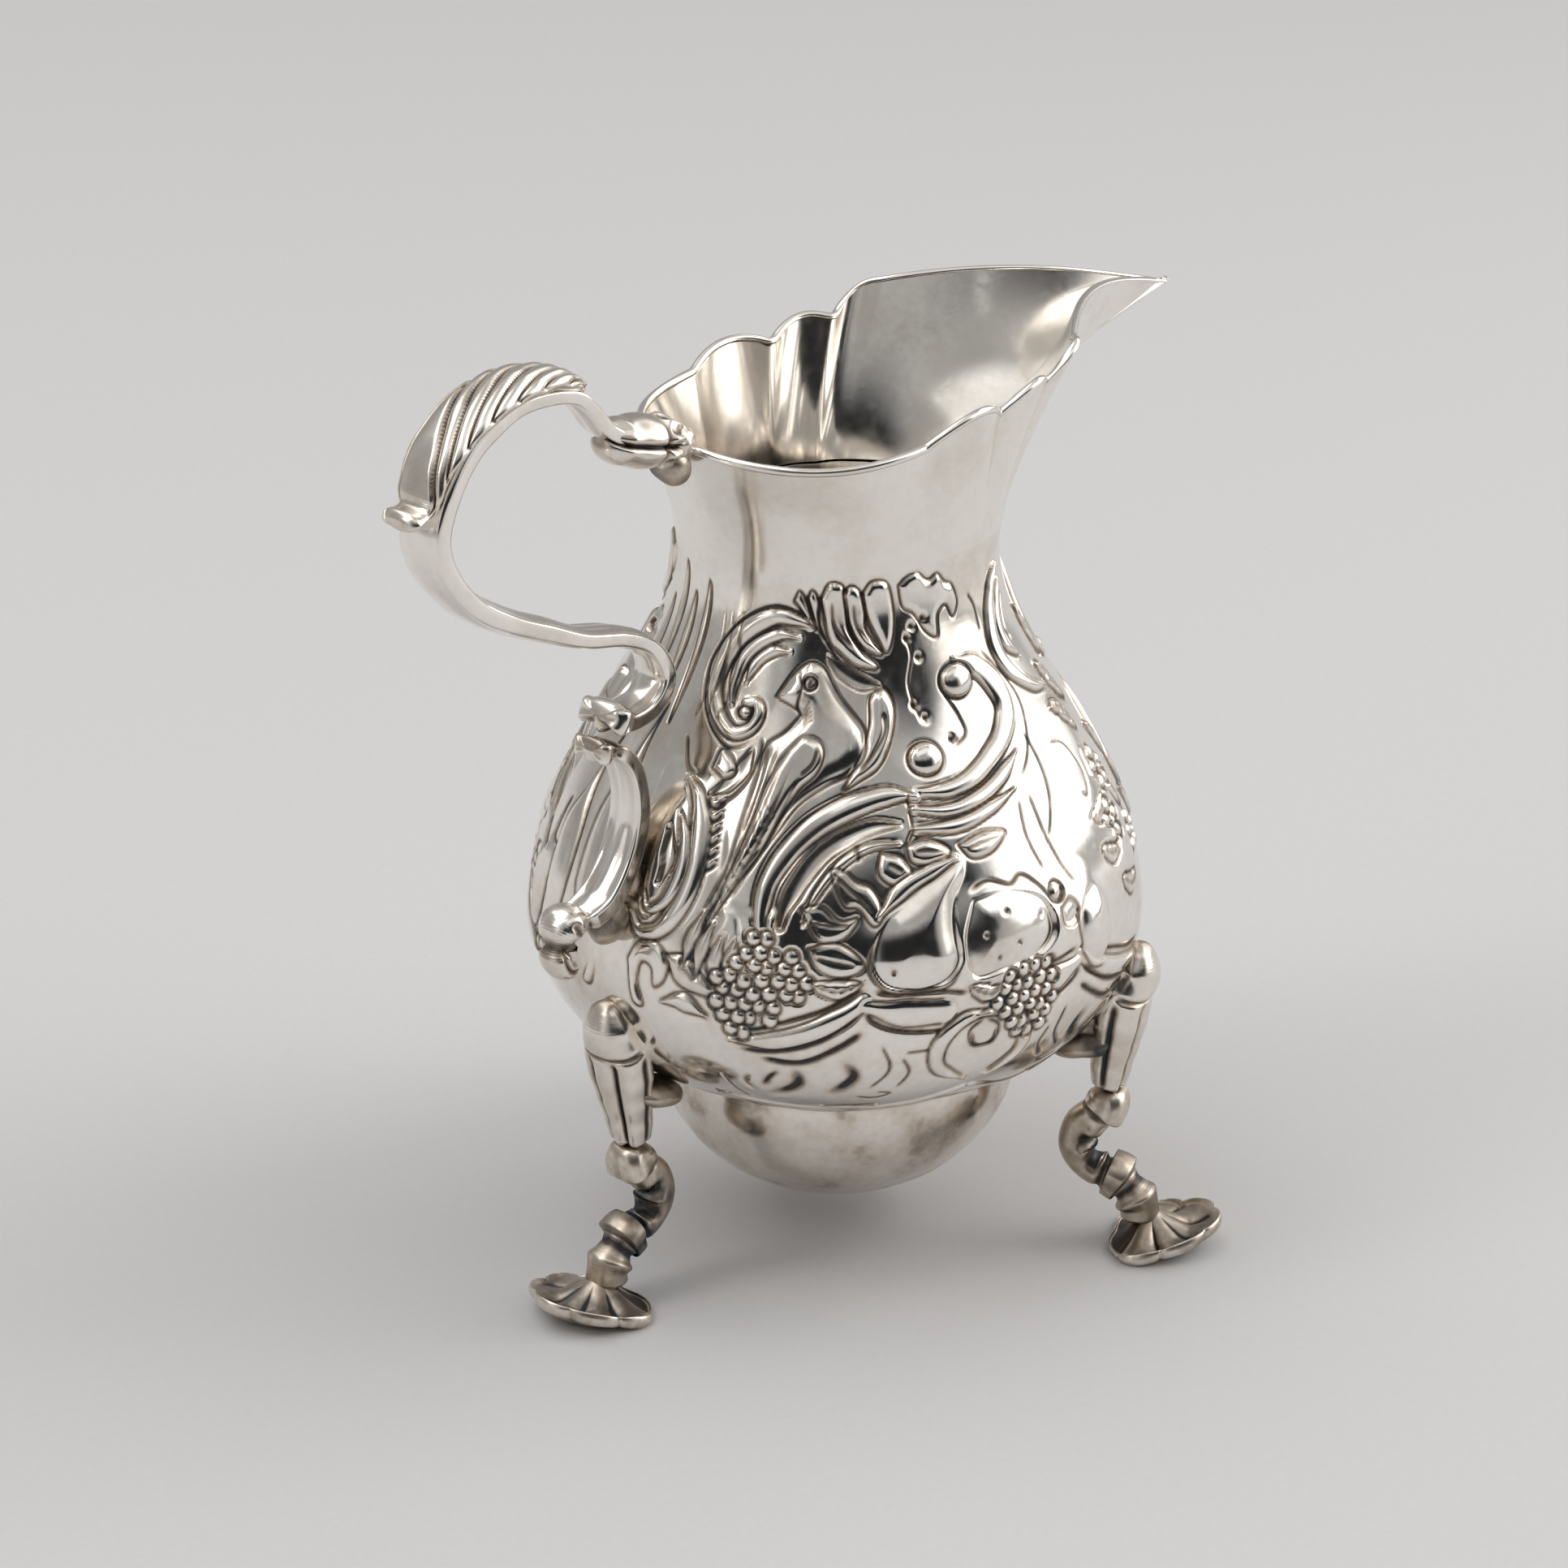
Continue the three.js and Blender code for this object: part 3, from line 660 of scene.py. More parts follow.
# %% The belt under the belly
hanging = [(156, 40), (149, 40.5), (142.5, 42), (136, 43.5), (131, 45.4), (128.5, 45.6)]
hanging_right = [(128.5, 45.6), (123.5, 45), (117, 45), (110, 44)]
under = [(153, 37.6), (146.5, 37.5), (139.5, 38.6), (133.5, 41), (130, 43)]
under_right = [(130, 43), (127.5, 41.4), (122.5, 40.2), (113.5, 39.6)]
for shift, sign in ((0, 1), (214, -1), (-129, 1)):

    def bay(points):
        """A place at turn t goes to shift + t, or in the mirrored bay to shift - t."""
        return [(shift + sign * t, z) for t, z in points]

    reed(bay([(154, 38.8), (146.5, 39), (139.5, 40.4), (133.5, 42.4), (129.4, 44.4)]), [0.5, 1.3, 1.3, 0.9],
         0.55)
    reed(bay([(129, 43.6), (123, 42.6), (115, 42.2)]), [0.9, 1.8, 1.6], 0.45)
    for line in (hanging, hanging_right, under, under_right):
        liner(bay(line), 0.26, 0.27, 1.0)
    liner(bay([(149, 36.4), (141.5, 36), (135, 38), (129.5, 40.6)]), 0.36, 0.42, 1.0)
    for crescent in ([(134.4, 37), (131.4, 33.8), (137, 30.4)], [(142.6, 36), (142.2, 32.4), (149, 29.8)]):
        liner(bay(crescent), 0.5, 0.7, 1.0, taper=0.45)
    liner(bay([(145, 35), (147.4, 33.4), (149.6, 31.4)]), 0.3, 0.36, 1.0, taper=0.4)
    liner(bay([(151, 34), (152.4, 32.4), (150.6, 30.6)]), 0.2, 0.24, 0.7, taper=0.4)
    for stroke, depth in (
        ([(126.5, 38.6), (124.8, 35), (128.4, 31.8)], 0.2),
        ([(122, 37.2), (117.6, 37.2)], 0.18),
        ([(122.6, 36.6), (121, 34.2), (123, 31.8)], 0.18),
        ([(157, 33.4), (155.6, 31), (152.8, 29)], 0.2),
        ([(131, 30.4), (127, 30), (124, 30.8), (127, 31.2)], 0.15),
    ):
        liner(bay(stroke), depth)
    reed(bay([(138, 28), (132, 27.8), (126, 28.2)]), [0.3, 0.8, 0.3], 0.3)
    liner(bay([(104.5, 39), (105.4, 37), (109, 36.8), (110, 39), (107, 40.4)]), 0.2)
    reed(bay([(105, 41), (111, 40.8), (115.6, 38), (115.4, 34.4), (109.4, 32)]), [0.3, 0.9, 1.1, 0.9, 0.3],
         0.5)
    reed(bay([(160, 29), (150, 28.2), (138, 27.2), (122, 27.6), (108, 30)]), 0.6, 0.25, lined=False)
liner([(t, 26.6 + 0.4 * np.sin(t / 4)) for t in range(0, 181, 4)], 0.12, 0.16, 0.6, 200, 0.01)
tell("belt")

# %% [markdown]
# A volute is a reed that winds inwards and grows thinner. It could be a true spiral, but a chaser works by
# eye: its reeds drift apart at the outer end and meet at the ball in the eye. So its spine is a row of
# given places.

# %% The volute by the handle
reed([(143, 83.4), (148, 83.8), (155.5, 84), (163, 82.8), (169.5, 80.6), (173.4, 77.6), (172.4, 74.4),
      (168, 72.2), (163, 71.2), (158.6, 72), (157, 73.6), (158.6, 74.6), (161.6, 74.4)],
     [0.5, 0.9, 1.25, 1.35, 1.3, 1.0, 0.9, 0.8, 0.6], SCROLL_RISE, count=90)
reed([(147, 81.9), (154, 82), (160.4, 80.9), (165.4, 79), (167, 76.4), (166, 74)],
     [0.3, 0.8, 0.9, 0.8, 0.3], 0.45)
reed([(150, 80.3), (156, 80.1), (161, 78.6), (163, 76.4)], [0.3, 0.75, 0.7, 0.2], 0.4)
boss((161.4, 73.4), (0.8, 0.7), 0.4)
liner([(141, 82.4), (143.5, 84), (148, 84.8), (155.5, 85.3), (163, 84.3), (170, 82.5), (175.4, 80),
       (177.6, 77.4), (176.4, 74.4), (173, 72.2), (168.5, 70.6), (164, 69.7), (159.4, 70.2), (156.2, 71.4)],
      0.22, 0.2, count=80)
liner([(154.6, 71.4), (154.6, 69.4), (156.4, 67), (159.6, 65), (164, 63.6)], 0.2)
reed([(157, 69.8), (158.4, 67.8), (161.4, 66), (165, 64.8)], [0.3, 0.9, 0.8, 0.2], -0.3)
form([(166.6, 67.4), (162.4, 66.6), (160, 67.6), (162.4, 69), (165.4, 69.4)], 0.35, 0.8)
for step in range(6):
    t, z = 165.4 - 0.2 * step, 64.2 - 1.25 * step
    liner([(t, z + 0.5), (t - 1.2, z - 0.5), (t - 3.0, z - 0.6), (t - 4.6, z + 0.3)], 0.22, 0.24, 0.9, 16)
    reed([(t - 0.6, z + 0.4), (t - 2.2, z - 0.1), (t - 4.2, z + 0.7)], [0.1, 0.5, 0.1], 0.3, lined=False)
tell("volute")

# %% [markdown]
# A C-scroll stands behind the handle's lower end, with a smaller one nested in it. The leaves under it are
# forms, because they have a width that changes on both sides, which a reed can't give.

# %% The long scroll behind the lower handle
reed([(172, 66), (168, 64.4), (165.2, 61.4), (164.4, 57.4), (166, 53.2), (169.6, 50), (174, 49.2),
      (176.6, 51)],
     [0.3, 0.9, 1.3, 1.4, 1.4, 1.3, 1.0, 0.5], SCROLL_RISE, count=70)
reed([(171, 62.4), (168.2, 60), (167.4, 56.6), (169.4, 53.2), (173, 51.8), (174.6, 53.4)],
     [0.2, 0.7, 0.9, 0.9, 0.7, 0.3], 0.4, count=60)
reed([(172.4, 60.6), (170.6, 57.4), (171.6, 54.8)], [0.3, 1.0, 0.3], -0.3)
for t0, bend in ((176, -1.0), (172.6, -1.6), (168.6, -1.4)):
    liner([(t0, 84), (t0 + bend, 78), (t0 + 0.4, 71.4)], 0.12, 0.16, 0.6)
liner([(177, 70), (173.4, 67.2), (170, 66.4)], 0.15)
form([(176, 45.6), (173.6, 48), (169.4, 48.4), (166.8, 46.8), (167.4, 44.2), (169.8, 43), (170.4, 45.2),
      (172.6, 45.6), (173.4, 43.2), (172, 40.4), (174.6, 40.6)], 0.45, 0.9)
form([(167.6, 47.4), (163.4, 47.8), (160, 46.2), (156, 43.8), (160.6, 43.6), (165, 44.4)], 0.4, 1.2)
liner([(164.6, 46.4), (162.4, 46), (161, 45)], 0.12, 0.14, 0.6)
reed([(168, 41.6), (163.4, 42.2), (158, 41)], [0.3, 1.2, 0.3], 0.4)
tell("long scroll")

# %% [markdown]
# A fan of five lobes opens towards the neck, and a ragged leaf lies beside it. Each lobe is a small closed
# form, so a dark line is struck all round it, and the lobes part where their lines touch.

# %% The shell fan on the neck
NECK_LOBES = (
    [(149.6, 86.2), (147.6, 87.4), (145.2, 86.4), (143.4, 84.4), (141.4, 82.8), (144.4, 83.8)],
    [(145, 86.6), (143, 87.6), (140.8, 86.4), (140.4, 83.6), (138.4, 81.8), (141.6, 83.4)],
    [(140.4, 86.6), (137, 88.6), (132.4, 88.2), (131, 85.6), (130.6, 83), (126, 80.4), (121.4, 78.6),
     (128.4, 79), (133.6, 80.4), (137.6, 82)],
    [(132.4, 87.2), (129.6, 88.2), (126, 87.2), (124.8, 85), (124.6, 82.8), (119.6, 80), (126.6, 81),
     (130.6, 83.6)],
    [(126, 87), (122, 88.6), (116.4, 88), (114.6, 84.8), (115.6, 81.8), (118.4, 80.2), (121.4, 82),
     (124.4, 84.4)],
)
for lobe in NECK_LOBES:
    form(lobe, 0.55, 1.1)
for rib in ([(136.4, 86.6), (135.2, 83.6), (129.4, 80.8)], [(129, 86.2), (128, 83.6), (123.6, 81.2)]):
    liner(rib, 0.14, 0.2, 0.6)
liner([(141.2, 86), (140.6, 83.4), (137, 81), (133, 79.4), (128, 78), (122.4, 77.4)], 0.2)
reed([(137.4, 80), (132.4, 78.4), (127, 77.2), (121.6, 76.8)], [0.3, 0.9, 0.9, 0.3], -0.25)
form([(112.6, 87.6), (109, 88.6), (105, 88.8), (101, 87.6), (97, 88), (93.6, 86.8), (90.4, 86.2),
      (88.6, 84.2), (91.6, 82.6), (94, 84.2), (98, 83.4), (99.4, 81), (103.6, 81.8), (107.4, 84),
      (111.4, 85)], 0.4, 1.0)
for hole in ((108.6, 82.6), (104.4, 83.4), (107.6, 79.2), (110.6, 81.4), (111.6, 74.4), (108.8, 73),
             (102.6, 70.4)):
    pit(hole)
liner([(112, 82.4), (110, 79.6), (112.4, 76.4), (110.2, 72.4)], 0.16)
tell("shell fan")

# %% [markdown]
# The largest scroll sweeps under the fan. Its three reeds lie side by side like the strands of a rope, and
# a ball ends each arm. The balls stand highest, so they are bosses with a struck ring.

# %% The big C-scroll on the side
reed([(95, 78.2), (87, 76.6), (82, 74.2), (81.6, 71.6), (86.4, 69.4), (94, 67.6), (101, 66.2), (108, 65.6),
      (115.6, 65.8)],
     [0.4, 1.4, 1.7, 1.5, 1.3, 1.2, 1.0, 0.6], SCROLL_RISE, count=80)
reed([(84.6, 67.4), (94, 65.2), (102, 64), (109, 63.6), (117.4, 64.2)], [0.2, 0.9, 0.9, 0.8, 0.5], 0.5)
reed([(89.6, 64), (98, 62.9), (107, 62), (117.6, 62.2)], [0.2, 0.8, 0.9, 0.5], 0.45)
liner([(84, 78.4), (76.6, 74.8), (74.6, 71.2), (79.6, 67.2), (88, 64)], 0.18)
liner([(101, 76.6), (100.4, 74.4), (98.4, 72.4), (98, 70.6), (103, 69.6)], 0.2)
boss((96, 76), (2.15, 2.0), 0.95)
boss((111.6, 69), (2.05, 1.9), 0.9)
tell("C-scroll")

# %% [markdown]
# A plume curls in front of the bird, and an S-scroll runs under it: a reed, a dish and a reed side by side.
# Small leaves fill the space below, with one struck vein each, which the eye takes for a fold.

# %% The plume and the S-scroll under the bird
form([(133, 66.4), (129, 67.4), (124.5, 68.5), (121, 70.4), (118.4, 73), (118.2, 75), (121, 76.4),
      (124.8, 75.6), (125.6, 73), (127.4, 70.8), (130, 69)], 0.6, 1.2)
liner([(121.6, 74), (121.8, 72), (125.4, 69.8), (129.6, 68)], 0.2, 0.25, 0.6)
reed([(116, 65.4), (121.6, 65.8), (127.6, 65.4), (134, 64.4), (140, 62.7), (145.2, 60), (148.4, 56.8),
      (149.2, 53.6), (148.6, 51.2)],
     [0.5, 1.2, 1.4, 1.4, 1.3, 1.1, 0.7], 0.6, count=70)
reed([(120.6, 62.9), (126.4, 62.9), (132.4, 61.9), (137.8, 60.2), (141.8, 57.6), (144.4, 54.8),
      (145.4, 52.4)],
     [0.4, 0.9, 1.1, 1.1, 1.0, 0.5], -0.4, count=60)
reed([(121, 61), (127, 60.9), (132, 59.8), (136, 57.9), (139.2, 55.4), (141, 52.8)],
     [0.2, 0.5, 0.6, 0.5, 0.2], 0.35)
liner([(118.2, 66), (118, 63.6), (118, 62), (119.6, 60.8)], 0.2)
liner([(130.4, 61), (130, 59.4)], 0.2, 0.3, 0.8, 8)
for outline in (
    [(136, 58.8), (133.4, 58.6), (131, 57.4), (127.8, 56.6), (125.6, 54), (127.6, 52.6), (130.4, 54.6),
     (133, 54.8), (134.8, 56.6)],
    [(141.6, 54.6), (137.4, 55), (134, 53.4), (130.4, 53.6), (133.4, 51.4), (138, 51.2)],
    [(119.8, 60.6), (115.4, 61.1), (110.4, 59.5), (114.6, 58.4), (119, 59)],
    [(108.4, 60), (102.4, 60.8), (96.6, 60.2), (100.6, 58.6), (105.8, 58.4)],
    [(125.4, 60.2), (121, 59.4), (118.6, 56.8), (122.4, 56.6), (126, 58)],
    [(140, 50.4), (134.6, 51), (129.6, 48.6), (133.4, 47), (138, 48)],
):
    form(outline, 0.45, 0.9, count=50)
for vein in ([(134.6, 57.8), (131, 56), (127.6, 54)], [(139.6, 53.2), (135.6, 52.8), (132, 52.8)],
             [(118.4, 60), (114.6, 59.8), (111.4, 59.6)], [(107, 59.4), (102, 59.8), (98, 60)],
             [(124, 59), (121, 58)], [(138.6, 49.4), (134, 48.8), (131, 48.4)]):
    liner(vein, 0.12, 0.15, 0.7, 12)
tell("S-scroll")

# %% [markdown]
# The bird is one swelled form, high and soft. Its wing is a second form that keeps what is under it.
# Feathers are struck lines, and the tail's feathers are short reeds, because they stand apart from each
# other.

# %% The bird
form([(152.6, 75.4), (149.6, 77.2), (146.5, 78.6), (142.5, 79.4), (138.6, 78.8), (136, 77.2), (133.4, 75.6),
      (130, 74), (127.2, 72.2), (127.4, 69.8), (131.6, 68), (137.4, 66.8), (143.4, 64.8), (147.6, 61.9),
      (151.6, 59), (157, 55.6), (161.4, 51.4), (158.6, 56), (156.6, 59.4), (155.6, 63), (154.4, 67),
      (153.4, 70.4), (148.6, 72), (145, 73.8), (147.4, 74.6)], 0.85, 2.6, count=160)
form([(147, 70.2), (143.4, 71.6), (139.2, 71.2), (137.8, 69.8), (139.6, 68), (143.4, 66.4), (147.4, 63.2),
      (151.2, 59.2), (155.4, 55.8), (160.4, 50.6), (157.4, 56), (154, 62), (151, 67)], 0.35, 1.1, count=120,
     keep=1.0)
for feather in (
    [(145, 69.2), (148.4, 64.6), (152.4, 59.4), (158, 53.6)],
    [(143, 68.4), (147, 64), (151.6, 58.6), (158.6, 52.4)],
    [(147.6, 69.4), (150.4, 65), (154, 60.2), (157.6, 55.6)],
    [(150.6, 69.4), (152, 65.6), (154.4, 61.4), (157, 57.6)],
    [(152.4, 70), (153.2, 66.4), (154.8, 62.8), (156.4, 59.6)],
    [(149, 71.4), (151, 68), (152.6, 64)],
):
    liner(feather, 0.11, 0.14, 0.75, taper=0.3)
for barb in range(9):
    t, z = 148 + 1.15 * barb, 63.6 - 1.35 * barb
    liner([(t, z), (t + 1.6, z + 0.5), (t + 2.6, z + 1.7)], 0.08, 0.12, 0.6, 10)
form([(156.6, 53.6), (153, 53), (152.6, 48), (156.8, 44.6), (159.6, 47.6)], 0.3, 1.0, lined=False)
for tail_feather in (
    [(160.4, 53), (162.6, 49.6), (163.6, 46.6)],
    [(158.4, 52), (160.4, 48.6), (160.8, 45.4)],
    [(156, 51), (157.6, 47.6), (157.4, 44.6)],
    [(153.4, 50.6), (154.6, 47.4), (153.6, 45)],
):
    reed(tail_feather, [0.3, 0.9, 0.2], 0.3)
boss((142.6, 77.1), (0.75, 0.75), 0.25)
pit((142.6, 77.1), 0.2, 0.15)
liner([(146.6, 78.2), (145, 76.6), (146, 74.8), (144, 73.4)], 0.14)
for ruff in range(5):
    liner([(141.8 - 0.2 * ruff, 75.2 - 0.45 * ruff), (143, 74.9 - 0.5 * ruff), (144, 74.2 - 0.5 * ruff)],
          0.07, 0.12, 0.5, 8)
liner([(139.4, 70.4), (140.6, 68.8), (143.4, 67.6)], 0.12)
tell("bird")

# %% [markdown]
# A pear and two rounder fruits are the highest swells. They are wide and nearly plain, so their soft edge
# is several millimetres. The grapes are rows of small bosses, each a little out of place.

# %% The fruit
form([(107.4, 59), (108.4, 57), (110.8, 54.6), (111.6, 51.6), (111.4, 48), (114.6, 45.6), (120.5, 45),
      (126, 45.8), (128.6, 48.4), (127.6, 51.4), (124.6, 53.8), (119.6, 55.4), (113.4, 57.6)], 1.15, 4.8,
     lined=False, count=120)
liner([(127.6, 51.4), (128.8, 48.2), (126, 45.5), (120.4, 44.8), (114.4, 45.3), (111.8, 47.6)], 0.14)
pit((124.4, 47.6), 0.3, 0.3)
reed([(126.6, 53.6), (121.4, 56.4), (115.6, 57.8), (109.6, 58.8)], [0.3, 1.0, 0.9, 0.4], 0.5)
form([(108, 54.4), (100, 54.6), (92, 52.6), (90.2, 48.6), (94.4, 46.2), (102.6, 45.6), (109.6, 45.6),
      (111, 50)], 1.0, 4.2, lined=False)
liner([(108.6, 55), (104, 55.8), (99, 54.8), (95.4, 55.4), (91.4, 53), (89.4, 50.4)], 0.2, 0.24)
for hole in ((106.4, 50.2), (99.6, 48.6), (93.6, 50.8), (104, 47.4), (101.6, 52.2)):
    pit(hole, 0.28, 0.3)
form([(80.4, 51), (76.4, 51.2), (73.4, 48.6), (73.6, 44.6), (77, 42), (81, 42.6), (84, 45.4), (83.6, 49)],
     1.2, 3.4, lined=False)
liner([(85, 50.6), (84.6, 46.2), (81.6, 42.2), (77, 41.4)], 0.14)
form([(88.6, 50.6), (85.4, 51.2), (83.8, 49.6), (85.8, 48.2), (88.4, 48.6)], 0.6, 1.0, count=40)
boss((88.4, 52.4), (1.0, 1.2), 0.5)
liner([(86.6, 63.4), (86.2, 58.4), (84.4, 54.6), (82, 51.6)], 0.18)
liner([(90, 63), (91.4, 59), (89.4, 54.6)], 0.14)


def grapes(outline, radius, seed):
    """Berries in rows inside an outline: every second row is half a berry over, each berry a bit off."""
    rng = np.random.default_rng(seed)
    line = np.array(outline, float)
    low, high = line.min(0), line.max(0)
    closed = np.vstack([line, line[:1]])
    for row, z in enumerate(np.arange(low[1], high[1], 1.72 * radius)):
        step = np.degrees(2.0 * radius / np.interp(z, chase_z, chase_r))
        turns_in_row = np.arange(low[0] + 0.5 * step * (row % 2), high[0], step)
        for t in turns_in_row[inside(closed, turns_in_row, z)]:
            off = rng.normal(0, 0.15, 2)
            berry = radius * rng.uniform(0.92, 1.05)
            boss((t + 1.5 * off[0], z + off[1]), (berry, berry), 0.30)


grapes([(157.4, 41.4), (153, 38.6), (148.6, 40.6), (144.6, 43), (138.6, 45.6), (140.6, 48), (145.4, 51),
        (151.6, 51.4), (154.6, 48.6), (157.6, 46)], 0.9, 3)
grapes([(104.6, 42.4), (99.6, 36.6), (94.8, 36), (91, 39.4), (90.6, 43), (93.6, 46), (101.4, 45),
        (104.6, 44)], 0.86, 4)
for spine in ([(139.6, 46.4), (134.4, 45.6), (129.6, 46.6)], [(110.6, 44.8), (106, 43.4), (103.4, 44.4)]):
    leaf(spine, 1.2)
tell("fruit")

# %% [markdown]
# Between the side and the lip the chasing turns to sprigs of leaves and small five-petalled flowers, all
# alike. A leaf tool and a ring of five bosses make them, so only their places are listed.

# %% The shoulder towards the lip
reed([(62, 86), (66.6, 84.6), (71, 82), (74.6, 78), (72.4, 74.6), (66, 72), (58, 70.6)],
     [0.2, 0.8, 1.2, 1.3, 1.2, 0.9, 0.3], 0.55)
reed([(60.6, 84), (65, 82.4), (68.8, 79.6), (68.6, 77), (64, 75)], [0.2, 0.6, 0.9, 0.8, 0.2], 0.45)
liner([(58, 82.4), (62.4, 80.8), (65, 78.6), (63, 77)], 0.16)
liner([(83, 84.6), (80, 82.8), (79.8, 79.6)], 0.14)
liner([(79, 69), (78.6, 65.6), (80.6, 61.4), (86, 57.4)], 0.18)
liner([(72.6, 66.4), (67, 65.4), (65.4, 62), (68, 59.6), (70.4, 60.4)], 0.2)
for spine, width in (
    ([(64, 69), (58, 68), (54.4, 64.6)], 1.4),
    ([(57.4, 73.4), (52.4, 71.4), (49.4, 67.4)], 1.4),
    ([(70.4, 57.4), (65.4, 57), (60.4, 58.6)], 1.3),
    ([(71, 54), (66.6, 52.4), (62, 52.8)], 1.3),
    ([(60, 64), (60.4, 60.6), (58, 58)], 1.3),
    ([(52, 62), (53.4, 58), (51, 54.4)], 1.4),
    ([(66, 49.4), (61, 47.4), (55.6, 48)], 1.4),
    ([(48.4, 79.4), (44.6, 76), (43.4, 72)], 1.2),
    ([(46, 64), (41.4, 61.6), (38.4, 57.6)], 1.4),
    ([(44.6, 55.4), (40, 53.4), (36.6, 49.4)], 1.4),
):
    leaf(spine, width)


def flower(place, petals, first, reach, petal_half, petal_rise, eye_half, eye_rise):
    """Petals are bosses on an ellipse round a place, at equal angles from the first, round a domed eye."""
    for k in range(petals):
        angle = np.radians(360 / petals * k + first)
        petal = (place[0] + reach[0] * np.cos(angle), place[1] + reach[1] * np.sin(angle))
        boss(petal, petal_half, petal_rise, np.degrees(angle))
    boss(place, (eye_half, eye_half), eye_rise)


for place in ((61.4, 55.2), (55.4, 60.4), (50.4, 51.4)):
    flower(place, 5, 20, (2.7, 1.75), (1.0, 0.85), 0.5, 0.7, 0.6)
tell("shoulder")

# %% [markdown]
# Under the lip, where the two halves meet, a frame of scrolls holds a flower. Its middle is on the mirror
# line at 0 degrees, so half of each shape is drawn, and the mirrored copy gives the other half.

# %% The framed panel under the lip
for spine, width in (
    ([(0, 84), (9, 83.4), (17, 80.6), (22, 76), (21, 71.4), (16.6, 70.4), (15, 72.6)],
     [1.0, 1.2, 1.3, 1.2, 1.0, 0.6]),
    ([(0, 81), (7, 80.6), (13.6, 78), (17, 74.6)], [0.8, 0.8, 0.8, 0.3]),
    ([(19.4, 68.8), (26, 65), (28.6, 58.6), (25.4, 52), (18, 48.6), (12.6, 49.6), (13, 52)],
     [0.4, 1.2, 1.4, 1.3, 1.1, 0.6]),
    ([(22.4, 65), (25.2, 59), (22, 53.6), (16.4, 51.4)], [0.2, 0.8, 0.8, 0.2]),
    ([(0, 47.6), (6, 47.8), (11, 49)], [1.0, 0.9, 0.4]),
    ([(30.4, 84), (36.6, 81), (39.6, 76), (37, 71.6), (32.4, 71.8)], [0.2, 1.0, 1.2, 1.0, 0.4]),
    ([(31, 67.4), (36.4, 63), (38, 57), (34, 52.4)], [0.2, 0.9, 1.1, 0.3]),
):
    reed(spine, width, SCROLL_RISE, count=60)
for place in ((14.8, 72.4), (12.8, 51.6), (32.6, 71.8)):
    boss(place, (1.3, 1.2), 0.7)
for t, z in ((0, 78), (6, 77), (11.4, 74)):
    form([(0, 68.4), (t - 2.6, z - 3), (t - 1.8, z), (t, z + 0.8), (t + 1.8, z - 0.6), (t + 2.4, z - 3.6)],
         0.5, 1.1, count=50)
flower((0, 59.4), 6, 30, (5.6, 3.5), (2.0, 1.5), 0.7, 1.5, 0.8)
tell("panel")

# %% [markdown]
# The far side near the handle is plainer: long pointed flutes instead of scrolls. The sheet drawn so far
# serves the side with the bird; a copy of it, with that stretch cleared and fluted, serves the other.

# %% The fluted side
near_height, near_shade = height.copy(), shade.copy()
PLAIN_FROM = 141.0
plain = smooth(half_turns, PLAIN_FROM, PLAIN_FROM + 4)[None, :] * smooth(chase_z, 40, 44)[:, None]
height *= 1 - plain
shade *= 1 - plain
for t0, low, high in ((149, 41, 58), (158, 43, 67), (169.6, 46, 72)):
    flute = [(t0 - 4.2, low + 5), (t0 - 1, low), (t0 + 3.2, low + 3), (t0 + 4.2, low + 11),
             (t0 + 1.6, high - 5)]
    form(flute + [(t0 + 2.6, high), (t0 - 1.6, high - 7), (t0 - 4.6, low + 13)], 0.9, 3.2)
for t0, low, high in ((151.6, 66, 82), (160, 74, 87), (167.4, 72, 84), (175, 70, 86)):
    form([(t0 - 1.8, high - 5), (t0, low), (t0 + 1.6, high - 6), (t0 + 1, high - 1), (t0 - 0.6, high)],
         0.35, 1.2)
tell("fluted side")

# %% [markdown]
# A worn edge has no sharp corner, so both sheets are blurred by about a tenth of a millimetre, and faded
# out at the neck and at the step to the bowl. The hammer leaves the whole surface slightly uneven as well,
# which is what makes reflections swim.


# %% Wearing the edges
EDGE_WEAR, HOLLOW_REACH, BLUR_STEPS = 0.8, 4.0, 4


def blur(values, radius):
    """An average along both directions of the sheet, with weights exp(-(steps / radius) squared)."""
    weights = np.exp(-((np.arange(-BLUR_STEPS, BLUR_STEPS + 1) / radius) ** 2))
    weights /= weights.sum()
    for axis in (0, 1):
        margins = [(BLUR_STEPS, BLUR_STEPS) if k == axis else (0, 0) for k in (0, 1)]
        padded = np.pad(values, margins, mode="reflect")
        values = sum(w * np.take(padded, np.arange(k, k + values.shape[axis]), axis)
                     for k, w in enumerate(weights))
    return values


fade = (smooth(chase_z, 24.9, 26.0) * smooth(chase_z, CHASED_TOP - 0.1, CHASED_TOP - 1.2))[:, None]
step_line_tone = 0.55 * np.exp(-(((chase_z - 25.3) / 0.5) ** 2))[:, None]
sheets = []
for drawn, toned_in in ((near_height, near_shade), (height, shade)):
    worn = blur(drawn, EDGE_WEAR)
    below = smooth(blur(blur(worn, HOLLOW_REACH), HOLLOW_REACH) - worn, 0.04, 0.4)
    dark_lines = np.clip(1.15 * blur(toned_in, EDGE_WEAR) + 0.4 * below, 0, 1)
    sheets.append((worn * fade, dark_lines * fade + step_line_tone))
order = np.abs(np.round(turns / (360 / COLUMNS)).astype(int))
facing_bird = (turns < 0)[None, :]
relief = np.where(facing_bird, sheets[0][0][:, order], sheets[1][0][:, order])
tarnish = np.where(facing_bird, sheets[0][1][:, order], sheets[1][1][:, order])
print("relief from", relief.min().round(2), "to", relief.max().round(2), "mm")

